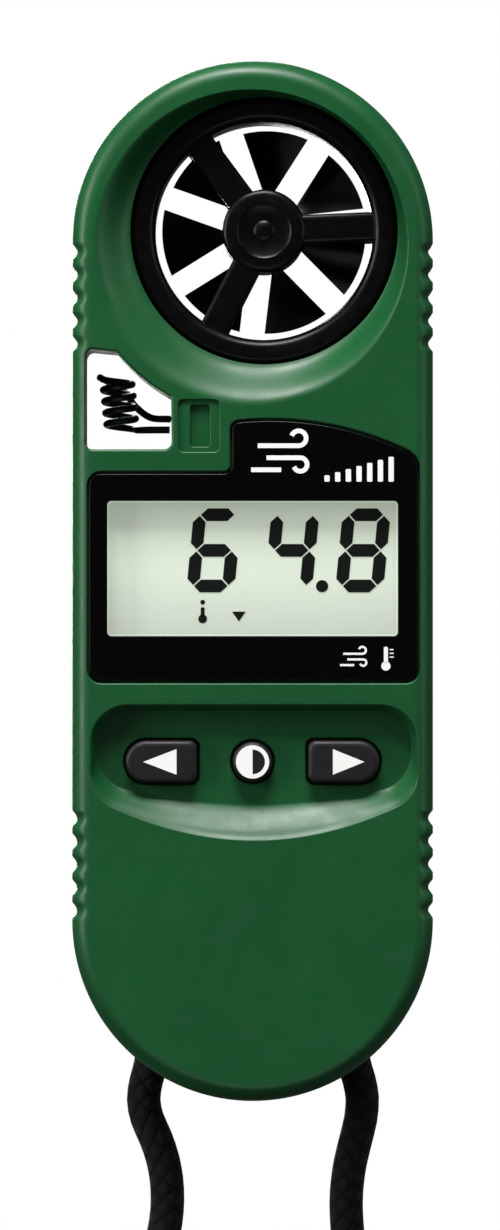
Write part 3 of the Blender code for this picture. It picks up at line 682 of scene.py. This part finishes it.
def studio():
    """Strong soft light from above, weaker ones from the sides, below and behind.

    The camera sees a white room, whose own light on the object is faint.
    """
    scene = bpy.context.scene
    scene.view_settings.view_transform = "Standard"
    softbox("key_above", (-0.06, -0.31, 0.68), (0, 0, 0), 0.40, 0.24, 8.4)
    softbox("fill_left", (-0.66, -0.32, 0.16), (0, 0, 0), 0.20, 0.50, 3.1)
    softbox("fill_right", (0.66, -0.28, 0.16), (0, 0, 0), 0.24, 0.50, 0.6)
    softbox("fill_low", (0.0, -0.56, -0.36), (0, 0, 0.02), 0.50, 0.20, 0.4)
    softbox("rear", (-0.14, 0.70, 0.20), (0, 0, -0.03), 0.30, 0.45, 5.0)
    world = bpy.data.worlds.new("studio_air")
    world.use_nodes = True
    tree = world.node_tree
    tree.nodes.clear()
    path = tree.nodes.new("ShaderNodeLightPath")
    mix = tree.nodes.new("ShaderNodeMixShader")
    link(tree, path.outputs["Is Camera Ray"], mix.inputs["Fac"])
    seen, felt = 1.0, 0.09
    for socket, strength in ((1, felt), (2, seen)):
        background = tree.nodes.new("ShaderNodeBackground")
        background.inputs["Color"].default_value = (1, 1, 1, 1)
        background.inputs["Strength"].default_value = strength
        link(tree, background.outputs["Background"], mix.inputs[socket])
    out = tree.nodes.new("ShaderNodeOutputWorld")
    link(tree, mix.outputs["Shader"], out.inputs["Surface"])
    scene.world = world


def floor():
    """A round pale floor just under the hank. It throws no light back onto the object."""
    radius = 1.25
    height = cad_box[0][2] - 0.002
    bm = bmesh.new()
    bm.faces.new([bm.verts.new((x, y, height)) for x, y in circle(0, 0, radius, 96)])
    made = new_object("pale_floor", bm)
    made.data.materials.append(FLOOR)
    made.visible_diffuse = False
    made.visible_glossy = False


# Lanyard

def smooth_route(points, spacing):
    """Points about spacing apart along a Catmull-Rom curve through the given points."""
    knots = [Vector(p) for p in points]
    knots = [knots[0] * 2 - knots[1]] + knots + [knots[-1] * 2 - knots[-2]]
    route = []
    for a, b, c, d in zip(knots, knots[1:], knots[2:], knots[3:]):
        steps = max(1, round((c - b).length / spacing))
        for i in range(steps):
            t = i / steps
            route.append(0.5 * (2 * b + (c - a) * t + (2 * a - 5 * b + 4 * c - d) * t ** 2
                                + (3 * b - a - 3 * c + d) * t ** 3))
    return route + [knots[-2]]


def hank_route():
    """The hank's turns: down on the left, round the lower bend, up on the right, and over."""
    points = []
    straight = 6
    bend = 12
    for number, (radius, depth) in enumerate(HANK_TURNS):
        after = HANK_TURNS[number + 1] if number + 1 < len(HANK_TURNS) else None
        for i in range(straight):
            z = HANK_TOP_Z + (HANK_BOTTOM_Z - HANK_TOP_Z) * i / straight
            points.append((-radius, depth, z))
        for x, z in arc(0, HANK_BOTTOM_Z, radius, 180, 360, bend):
            points.append((x, depth, z))
        for i in range(1, straight + (0 if after else 1)):
            z = HANK_BOTTOM_Z + (HANK_TOP_Z - HANK_BOTTOM_Z) * i / straight
            points.append((radius, depth, z))
        if after:
            for i in range(bend):
                share = i / bend
                turn = math.radians(180 * share)
                ease = share * share * (3 - 2 * share)
                r = radius + (after[0] - radius) * ease
                points.append((r * math.cos(turn), depth + (after[1] - depth) * ease,
                               HANK_TOP_Z + r * math.sin(turn)))
    return points


def tube_mesh(name, route, radius, sides):
    """A round tube along a route in millimetres, with U along it in metres and V around it."""
    bm = bmesh.new()
    uv = bm.loops.layers.uv.new("UVMap")
    steps = [(b - a).normalized() for a, b in zip(route, route[1:])]
    middles = [(a + b).normalized() for a, b in zip(steps, steps[1:])]
    tangents = [steps[0]] + middles + [steps[-1]]
    side = tangents[0].orthogonal().normalized()
    rings = []
    lengths = [0.0]
    for i, (centre, tangent) in enumerate(zip(route, tangents)):
        side = (side - tangent * side.dot(tangent)).normalized()
        up = tangent.cross(side)
        ring = []
        for k in range(sides):
            turn = 2 * math.pi * k / sides
            spoke = side * math.cos(turn) + up * math.sin(turn)
            ring.append(bm.verts.new(centre + spoke * radius))
        rings.append(ring)
        if i:
            lengths.append(lengths[-1] + (centre - route[i - 1]).length * MM)
    for i in range(len(rings) - 1):
        for k in range(sides):
            j = (k + 1) % sides
            face = bm.faces.new((rings[i][k], rings[i][j], rings[i + 1][j], rings[i + 1][k]))
            corners = ((lengths[i], k), (lengths[i], k + 1),
                       (lengths[i + 1], k + 1), (lengths[i + 1], k))
            for corner, (u, v) in zip(face.loops, corners):
                corner[uv].uv = (u, v / sides)
    bm.faces.new(rings[0])
    bm.faces.new(rings[-1])
    return new_object(name, bm)


def lanyard():
    """The neck cord: out of the rim, through the hank's turns, and back into the rim."""
    route = smooth_route(list(LEFT_ROUTE) + hank_route() + list(reversed(RIGHT_ROUTE)), 1.3)
    cord = tube_mesh("neck_lanyard", route, CORD_RADIUS, 16)
    finish(cord, "casing", CORD, ("lanyard_left", "lanyard_right", "lanyard_hank"),
           angle=60, weighted=False)
    tie = lanyard_tie()


def lanyard_tie():
    """A woven band round the hank, with softened edges."""
    low, high = node_box("lanyard_tie")
    thick = 1.0
    corner = 3.2
    edge = 0.35
    outer = rounded_rect(low.x, low.y, high.x, high.y, corner, 8)
    inner = offset(outer, -thick)
    rings = []
    trimmed = offset(outer, -edge)
    for outline, z in ((trimmed, low.z), (outer, low.z + edge), (outer, high.z - edge),
                       (trimmed, high.z), (inner, high.z), (inner, low.z)):
        rings.append([(x, y, z) for x, y in outline])
    tie = loft("hank_tie_band", rings, loop=True)
    return finish(tie, "casing", TAPE, ("lanyard_tie",))


# Casing

def casing_rings(seam_y, face_y, steps=10):
    """Rings from the seam to the rounded edge of a face; the scallops fade out on the rounding."""
    side = 1 if face_y > seam_y else -1
    lip = 0.25
    rings = [level(casing_outline(lip, GRIP_DEPTH), seam_y),
             level(casing_outline(0.07, GRIP_DEPTH), seam_y + side * 0.07),
             level(casing_outline(0, GRIP_DEPTH), seam_y + side * lip)]
    for i in range(steps + 1):
        turn = math.pi / 2 * i / steps
        inset = EDGE_INSET * (1 - math.cos(turn))
        y = face_y - side * EDGE_DEPTH * (1 - math.sin(turn))
        rings.append(level(casing_outline(inset, GRIP_DEPTH * math.cos(turn)), y))
    return rings


def funnel_cutter(side, bore, depth, reach):
    """The dished funnel and the bore, which runs on to reach; side is -1 for the front."""
    segments = 160
    steps = 18
    rings = [level(circle(FUNNEL_X, FUNNEL_Z, FUNNEL_RADIUS, segments), side * (FACE_Y + 1))]
    for i in range(steps + 1):
        share = i / steps
        sunk = depth * (0.22 * share * share + 0.78 * share * share * (3 - 2 * share))
        x = FUNNEL_X + (AXIS_X - FUNNEL_X) * share
        z = FUNNEL_Z + (AXIS_Z - FUNNEL_Z) * share
        radius = FUNNEL_RADIUS + (bore - FUNNEL_RADIUS) * share
        rings.append(level(circle(x, z, radius, segments), side * (FACE_Y - sunk)))
    rings.append(level(circle(AXIS_X, AXIS_Z, bore, segments), reach))
    return loft("funnel_cutter", rings)


def keypad_cutter():
    """The keypad's scoop: steep at the top and sides, a broad sloping crescent at the bottom."""
    mouth = keypad_outline(-18.9, 19.3, -14.6, 4.4, -26.4, -30.2)
    bottom = keypad_outline(-18.2, 18.6, -15.2, 3.8, -24.4, -26.1)
    rounding = 0.3
    start_y = -FACE_Y + 0.25
    rings = [level(offset(mouth, rounding), -FACE_Y - 1)]
    rings += [level(offset(mouth, grow), y) for grow, y in fillet(rounding, -FACE_Y, 1, 3)[:-1]]
    steps = 12
    for i in range(1, steps + 1):
        share = i / steps
        ease = 0.55 * share + 0.45 * share * share * (3 - 2 * share)
        rings.append(level(between(mouth, bottom, share), start_y + (FLOOR_Y - start_y) * ease))
    return loft("keypad_cutter", rings)


def front_shell():
    """The front casing half with its funnel, window, display seat and keypad recess."""
    beyond = FRONT_SEAM_Y + 1
    key_hole_y = -4.5
    pane_hole = rounded_rect(-17.4, -6.85, 17.4, 9.75, 0.6)
    body = loft("front_shell", casing_rings(FRONT_SEAM_Y, -FACE_Y))
    cut(body,
        prism("cavity", cavity_outline(), -5.4, beyond),
        prism("display_cavity", rounded_rect(-18.9, -12.3, 18.9, 13.2, 1.0), -7.1, -5.0),
        pocket("bezel_recess", offset(bezel_outline(), 0.18), -FACE_Y, -7.8, 0.22),
        prism("display_hole", pane_hole, -8.5, -6.5),
        funnel_cutter(-1, BORE_RADIUS, FUNNEL_DEPTH, beyond),
        pocket("sensor_window", window_outline(), -FACE_Y, beyond, 0.35),
        pocket("emboss", rounded_rect(-8.7, 15.1, -3.9, 21.2, 0.6), -FACE_Y, -8.65, 0.18),
        pocket("emboss_slot", rounded_rect(-7.3, 15.7, -5.0, 20.6, 0.4), -8.65, -8.1, 0.15),
        keypad_cutter())
    for name in ("button_left", "button_right"):
        cut(body, pocket("key_hole", side_button_outline(name, 0.25), FLOOR_Y, key_hole_y, 0.2))
    cut(body, pocket("key_hole", circle(0, BUTTON_Z, 2.6, 48), FLOOR_Y, key_hole_y, 0.2))
    finish(body, "casing", GREEN, ("front_casing",))


def rear_shell():
    """The rear casing half with its funnel, window, door seat, screw seats and cord holes."""
    before = REAR_SEAM_Y - 1
    body = loft("rear_shell", casing_rings(REAR_SEAM_Y, FACE_Y))
    cut(body,
        prism("cavity", cavity_outline(), before, 5.4),
        funnel_cutter(1, REAR_LIP_RADIUS, REAR_FUNNEL_DEPTH, before),
        prism("module_seat", circle(AXIS_X, AXIS_Z, BORE_RADIUS, 128), before, RING_Y + 0.3),
        pocket("sensor_window", window_outline(), FACE_Y, before, 0.35),
        prism("battery_hole", circle(0, DOOR_Z, 10.9, 96), 4.5, FACE_Y + 1),
        pocket("door_seat", circle(0, DOOR_Z, DOOR_RADIUS + 0.25, 96), FACE_Y, 7.0, 0.2))
    for x, z in SCREWS:
        cut(body, pocket("screw_seat", circle(x, z, 2.0, 32), FACE_Y, 6.8, 0.2))
    for x in (-CORD_EXIT_X, CORD_EXIT_X):
        hole = circle(x, CORD_EXIT_Y, CORD_RADIUS + 0.3, 32)
        rings = [[(px, py, z) for px, py in hole] for z in (-70.0, -50.3)]
        cut(body, loft("cord_hole", rings))
    reach = DOOR_RADIUS + 1.9
    for x, z in ((0, DOOR_Z + reach), (reach, DOOR_Z)):
        cut(body, prism("turning_mark", circle(x, z, 0.55, 24), FACE_Y - 0.2, FACE_Y + 1))
    finish(body, "casing", GREEN, ("rear_casing",))


def battery_cap():
    """The battery door: a stepped disc with a coin slot and a ring of dimples."""
    y = door_high.y
    dimple_count = 12
    dimple_reach = 9.7
    profile = ((9.8, 6.7), (10.3, 7.0), (10.3, 8.0), (DOOR_RADIUS, 8.0), (DOOR_RADIUS, y - 0.25),
               (DOOR_RADIUS - 0.08, y - 0.08), (DOOR_RADIUS - 0.3, y))
    cap = turned("battery_cap", profile, 0, DOOR_Z, 128)
    slot = rounded_rect(-6.5, DOOR_Z - 0.9, 6.5, DOOR_Z + 0.9, 0.85, 8)
    cut(cap, pocket("coin_slot", slot, y, y - 0.75, 0.15))
    for i in range(dimple_count):
        turn = 2 * math.pi / dimple_count * (i + 0.5)
        x = dimple_reach * math.cos(turn)
        z = DOOR_Z + dimple_reach * math.sin(turn)
        cut(cap, pocket("dimple", circle(x, z, 0.5, 20), y, y - 0.25, 0.1))
    finish(cap, "battery_door", DOOR_GREEN, ("battery_door",))


def gasket():
    """The rubber seal that fills the seam between the casing's halves."""
    radius = CASE_RADIUS - 0.7
    outline = arc(0, END_Z, radius, 0, 180, 72) + arc(0, -END_Z, radius, 180, 360, 72)
    y0 = FRONT_SEAM_Y - 0.05
    y1 = REAR_SEAM_Y + 0.05
    body = prism("gasket", outline, y0, y1)
    cut(body,
        prism("cavity", cavity_outline(), y0 - 1, y1 + 1),
        prism("bore", circle(AXIS_X, AXIS_Z, BORE_RADIUS + 0.1, 128), y0 - 1, y1 + 1),
        prism("sensor_window", offset(window_outline(), 0.1), y0 - 1, y1 + 1))
    finish(body, "casing", GASKET, ("casing_gasket",))


def screw_heads():
    """Pan-head screws with a cross recess, let into the back."""
    profile = ((0.9, 2.5), (0.9, 7.1), (1.7, 7.1), (1.7, 7.75), (1.62, 7.98), (1.4, 8.15),
               (0.9, 8.28))
    for number, (x, z) in enumerate(SCREWS, 1):
        head = turned(f"screw_{number}", profile, x, z, 48)
        for wide, tall in ((1.05, 0.17), (0.17, 1.05)):
            slot = rounded_rect(x - wide, z - tall, x + wide, z + tall, 0.12, 3)
            cut(head, prism("slot", slot, 7.6, 9))
        finish(head, "casing", STEEL, (f"casing_screw_{number}",))


# Display

def plate_outline(low, high, grow, corner, steps):
    """A rounded rectangle round a node's box as seen from the front."""
    return rounded_rect(low.x - grow, low.z - grow, high.x + grow, high.z + grow, corner, steps)


def bezel():
    """The black bezel, the clear pane in its opening and the display cell behind them."""
    front = bezel_low.y
    back = bezel_high.y
    body = slab("bezel_plate", offset(bezel_outline(), -0.05), back, front, 0.2)
    opening = plate_outline(pane_low, pane_high, 0.3, 0.45, 6)
    cut(body, pocket("opening", opening, front, back + 1, 0.15))
    finish(body, "casing", BEZEL_BLACK, ("display_bezel",))
    pane = slab("display_pane", plate_outline(pane_low, pane_high, 0.12, 0.4, 6),
                pane_high.y, pane_low.y, 0.08)
    finish(pane, "casing", PANE, ("lcd_window",))
    cell = slab("display_cell", plate_outline(lcd_low, lcd_high, 0, 0.3, 4),
                lcd_high.y, lcd_low.y, 0.08)
    finish(cell, "casing", DISPLAY_PAINTED_GLOW, ("lcd_panel",))


def segment(name, start, end, y):
    """One bar of a digit between two corner points, with pointed ends."""
    a, b = Vector(start), Vector(end)
    gap = 0.12
    along = (b - a).normalized()
    across = Vector((-along.y, along.x)) * SEGMENT / 2
    a += along * gap
    b -= along * gap
    tip = along * SEGMENT / 2
    outline = [a, a + tip - across, b - tip - across, b, b - tip + across, a + tip + across]
    lean = [(p.x + (p.y - DIGIT_BOTTOM) * DIGIT_SLANT, p.y) for p in outline]
    return prism(name, lean, y, y - SEGMENT_THICK)


def digit(left, bars, y):
    """A seven-segment digit; bars are named a to g, clockwise from the top, g in the middle."""
    half = SEGMENT / 2
    x0, x1 = left + half, left + DIGIT_WIDTH - half
    top, bottom = DIGIT_TOP - half, DIGIT_BOTTOM + half
    middle = (top + bottom) / 2
    ends = {"a": ((x0, top), (x1, top)), "b": ((x1, top), (x1, middle)),
            "c": ((x1, middle), (x1, bottom)), "d": ((x0, bottom), (x1, bottom)),
            "e": ((x0, middle), (x0, bottom)), "f": ((x0, top), (x0, middle)),
            "g": ((x0, middle), (x1, middle))}
    return [segment("bar_" + bar, *ends[bar], y) for bar in bars]


def reading():
    """The shown value 64.8, a thermometer sign and a pointer."""
    y = lcd_low.y
    pieces = digit(-7.8, "acdefg", y) + digit(1.3, "bcfg", y) + digit(9.65, "abcdefg", y)
    for name, outline in (("point", circle(8.15, -0.62, 0.72, 24)),
                          ("bulb", circle(-5.85, -4.45, 0.52, 24)),
                          ("stem", rounded_rect(-6.08, -4.2, -5.62, -3.1, 0.1, 3)),
                          ("stem_top", circle(-5.85, -2.5, 0.28, 16)),
                          ("pointer", [(-1.6, -4.75), (-0.8, -3.6), (-2.4, -3.6)])):
        pieces.append(prism(name, outline, y, y - SEGMENT_THICK))
    finish(gather("display_reading", pieces), "casing", SEGMENTS, weighted=False)


def stroke(name, points, width, y):
    """A printed line through (x, z) points, with square ends."""
    left = []
    right = []
    for i, point in enumerate(points):
        before = Vector(points[max(i - 1, 0)])
        after = Vector(points[min(i + 1, len(points) - 1)])
        along = (after - before).normalized()
        across = Vector((-along.y, along.x)) * width / 2
        left.append(tuple(Vector(point) + across))
        right.append(tuple(Vector(point) - across))
    return prism(name, right + left[::-1], y, y - PRINT_THICK)


def wind_sign(x, z, size, y):
    """Three lines of wind, the upper two curling away from each other at their ends."""
    pieces = []
    for start, length, height, curl, up in ((0.0, 0.75, 0.22, 0.1364, 1),
                                            (0.16, 0.62, 0.0, 0.124, -1),
                                            (-0.12, 0.55, -0.22, 0.0, 1)):
        line_z = z + size * height
        line = [(x + size * (start + length * i / 8), line_z) for i in range(9)]
        if curl:
            radius = size * curl
            end_x = line[-1][0]
            turns = [math.radians(-90 + 250 * i / 14) for i in range(1, 15)]
            line += [(end_x + radius * math.cos(a), line_z + up * radius * (1 + math.sin(a)))
                     for a in turns]
        pieces.append(stroke("wind_line", line, size * 0.085, y))
    return pieces


def thermometer_sign(x, z, size, y):
    """A stem over a round bulb, with three ticks beside it."""
    half = size * 0.09
    stem = rounded_rect(x - half, z - size * 0.25, x + half, z + size * 0.5, size * 0.085, 6)
    bulb = circle(x, z - size * 0.34, size * 0.2, 32)
    pieces = [prism("stem", stem, y, y - PRINT_THICK), prism("bulb", bulb, y, y - PRINT_THICK)]
    half = size * 0.025
    for i in range(3):
        height = z + size * (0.05 + 0.16 * i)
        tick = rounded_rect(x + size * 0.16, height - half, x + size * 0.34, height + half,
                            size * 0.02, 2)
        pieces.append(prism("tick", tick, y, y - PRINT_THICK))
    return pieces


def bezel_print():
    """Plain signs in place of lettering: wind and rising bars above, a thermometer below."""
    y = bezel_low.y
    pieces = wind_sign(0.6, 14.4, 6.4, y)
    for i in range(7):
        x = 8.4 + 1.25 * i
        top = 12.35 + 0.36 * i
        outline = rounded_rect(x, 11.6, x + 0.62, top, 0.12, 3)
        pieces.append(prism("bar", outline, y, y - PRINT_THICK))
    pieces += thermometer_sign(15.6, -9.05, 2.7, y)
    pieces += wind_sign(10.6, -9.2, 3.0, y)
    finish(gather("bezel_signs", pieces), "casing", PRINT_PAINTED_GLOW, weighted=False)


# Keypad

# A key's outline from its hidden flange to its rounded top, as (growth, y)
KEY_LEVELS = ((KEY_FLANGE, -4.6), (KEY_FLANGE, -5.1), (0.0, -5.1), (0.0, -7.75), (-0.06, -7.98),
              (-0.2, -8.16), (-0.42, -8.27), (-0.75, KEY_TOP_Y))


def keys():
    """Three rubber keys with their printed signs: two arrows and a half-dark disc."""
    for name in ("button_left", "button_right"):
        rings = [level(side_button_outline(name, grow), y) for grow, y in KEY_LEVELS]
        finish(loft(name + "_key", rings), name, KEY_RUBBER, (name,))
    rings = [level(circle(0, BUTTON_Z, 2.35 + grow, 48), y) for grow, y in KEY_LEVELS]
    finish(loft("power_key", rings), "button_power", KEY_RUBBER, ("button_power",))
    top = KEY_TOP_Y
    for name, tip, base in (("button_left", -12.8, -8.9), ("button_right", 13.1, 9.4)):
        arrow = [(tip, BUTTON_Z), (base, BUTTON_Z + 1.5), (base, BUTTON_Z - 1.5)]
        sign = prism(name + "_sign", arrow, top, top - PRINT_THICK)
        finish(sign, name, PRINT_PAINTED_GLOW, weighted=False)
    disc = prism("power_sign", circle(0, BUTTON_Z, 1.95, 48), top, top - PRINT_THICK)
    half_disc = arc(0.0, BUTTON_Z, 1.45, -90, 90, 16)
    cut(disc, prism("half", half_disc, top + 0.5, top - 0.5))
    finish(disc, "button_power", PRINT_PAINTED_GLOW, weighted=False)


# Impeller

def housing(name, node, side):
    """Half of the impeller's housing: a rounded ring, three struts and a domed hub."""
    outer = side * RING_Y
    rounding = 0.5
    ring = [(RING_RADIUS, side * 0.15)]
    for i in range(7):
        turn = math.pi / 2 * i / 6
        ring.append((RING_RADIUS - rounding * (1 - math.cos(turn)),
                     outer - side * rounding * (1 - math.sin(turn))))
    ring += [(RING_BORE + 0.9, outer), (RING_BORE + 0.35, outer - side * 0.25),
             (RING_BORE, outer - side * 0.8), (RING_BORE, side * 0.15)]
    body = turned(name, ring, AXIS_X, AXIS_Z, 128, loop=True)
    dome = [(HUB_RADIUS, side * 3.2), (HUB_RADIUS, side * 4.6)]
    for i in range(1, 6):
        turn = math.pi / 2 * i / 6
        dome.append((HUB_RADIUS - 1.0 * (1 - math.cos(turn)), side * (4.6 + 0.6 * math.sin(turn))))
    dome += [(3.2, side * 5.25), (2.9, side * 5.05), (1.2, side * 5.0), (0.9, side * 5.2),
             (0.3, side * 5.25)]
    hub = turned("hub", dome, AXIS_X, AXIS_Z, 64)
    for angle in STRUT_ANGLES:
        join(hub, strut(angle, side))
    join(body, hub)
    seat = turned("jewel_seat", ((1.4, side * 2.5), (1.4, side * 4.6)), AXIS_X, AXIS_Z, 24)
    cut(body, seat)
    finish(body, "impeller_module", RING_BLACK, (node,))


def strut(angle, side):
    """A bar of rounded section from the hub to the ring."""
    turn = math.radians(angle)
    along = Vector((math.cos(turn), math.sin(turn)))
    across = Vector((-along.y, along.x))
    half_width, middle_y, half_depth = 1.7, 4.25, 0.65
    shape = ((-1, -0.6), (-0.9, -1), (0.9, -1), (1, -0.6), (1, 0.55), (0.85, 0.9), (0.6, 1),
             (-0.6, 1), (-0.85, 0.9), (-1, 0.55))
    section = [(s * half_width, side * (middle_y + d * half_depth)) for s, d in shape]
    rings = []
    for reach in (HUB_RADIUS - 1.5, RING_BORE + 0.7):
        centre = Vector((AXIS_X, AXIS_Z)) + along * reach
        rings.append([(centre.x + across.x * s, y, centre.y + across.y * s) for s, y in section])
    return loft("strut", rings)


def blade(angle):
    """One twisted, cambered blade that thins towards its edges."""
    rings = []
    root = HUB_RADIUS - 0.8
    camber = 0.25
    shares = [-1 + i / 5 for i in range(11)]
    for radius in (root + (BLADE_RADIUS - root) * i / 6 for i in range(7)):
        half = 180 / BLADE_COUNT - math.degrees(math.asin(BLADE_SLOT / 2 / radius))
        faces = ([], [])
        for share in shares:
            turn = math.radians(angle + half * share)
            x = AXIS_X + radius * math.cos(turn)
            z = AXIS_Z + radius * math.sin(turn)
            thick = 0.12 + 0.28 * math.sqrt(max(0.0, 1 - share * share))
            middle = BLADE_PITCH_Y * share + camber * (1 - share * share)
            faces[0].append((x, middle - thick, z))
            faces[1].append((x, middle + thick, z))
        rings.append(faces[0] + faces[1][::-1])
    return loft("blade", rings)


def rotor():
    """The impeller: seven blades on a rounded hub, bored for its axle and magnet."""
    profile = [(3.6, -2.7), (4.4, -2.6), (4.75, -2.4), (HUB_RADIUS, -2.0), (HUB_RADIUS, 2.0),
               (4.75, 2.4), (4.4, 2.6), (3.6, 2.7)]
    body = turned("rotor", profile, AXIS_X, AXIS_Z, 84)
    for i in range(BLADE_COUNT):
        join(body, blade(BLADE_FIRST_ANGLE + 360 / BLADE_COUNT * i))
    cut(body,
        prism("axle_hole", circle(AXIS_X, AXIS_Z, 0.8, 24), -4, 4),
        prism("magnet_seat", circle(AXIS_X, AXIS_Z, 2.6, 32), 1.1, 4))
    finish(body, "impeller", BLADE_BLACK, ("impeller",))


# Temperature sensor

def temperature_sensor():
    """A bare wire coil that stands free in the window, on two sleeved leads from the right."""
    coil_x = -15.4
    coil_radius = 1.75
    coil_lean = 0.1
    turns = 4.5
    low_z = 17.8
    pitch = 1.35
    per_turn = 28
    coil = []
    for i in range(int(turns * per_turn) + 1):
        turn = 2 * math.pi * i / per_turn
        z = low_z + pitch * i / per_turn
        coil.append((coil_x + coil_radius * math.cos(turn) - coil_lean * (z - low_z),
                     coil_radius * math.sin(turn), z))
    end_x = WINDOW_RIGHT - 0.3
    lower = [(end_x, -1.2, low_z), (-11.8, -1.0, low_z), (-13.0, -0.6, low_z)]
    top = coil[-1]
    back = [(top[0] - 0.3, 2.0, top[2] + 0.2), (-15.4, 3.0, 22.6), (-13.8, 3.0, 20.6),
            (-12.0, 1.6, 19.3), (end_x, 0.2, 19.1)]
    route = smooth_route(lower, 0.4)[:-1] + [Vector(p) for p in coil] + smooth_route(back, 0.4)
    wire_radius = 0.42
    wire = tube_mesh("sensor_coil", route, wire_radius, 14)
    finish(wire, "casing", WIRE, ("temperature_sensor",), angle=60, weighted=False)


camera()
studio()
floor()
lanyard()
front_shell()
rear_shell()
gasket()
battery_cap()
screw_heads()
bezel()
reading()
bezel_print()
keys()
housing("housing_front", "impeller_housing_front", -1)
housing("housing_rear", "impeller_housing_rear", 1)
rotor()
temperature_sensor()
for node_name, node_material in CARRIED.items():
    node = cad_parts[node_name]
    node.data.materials.clear()
    node.data.materials.append(node_material)
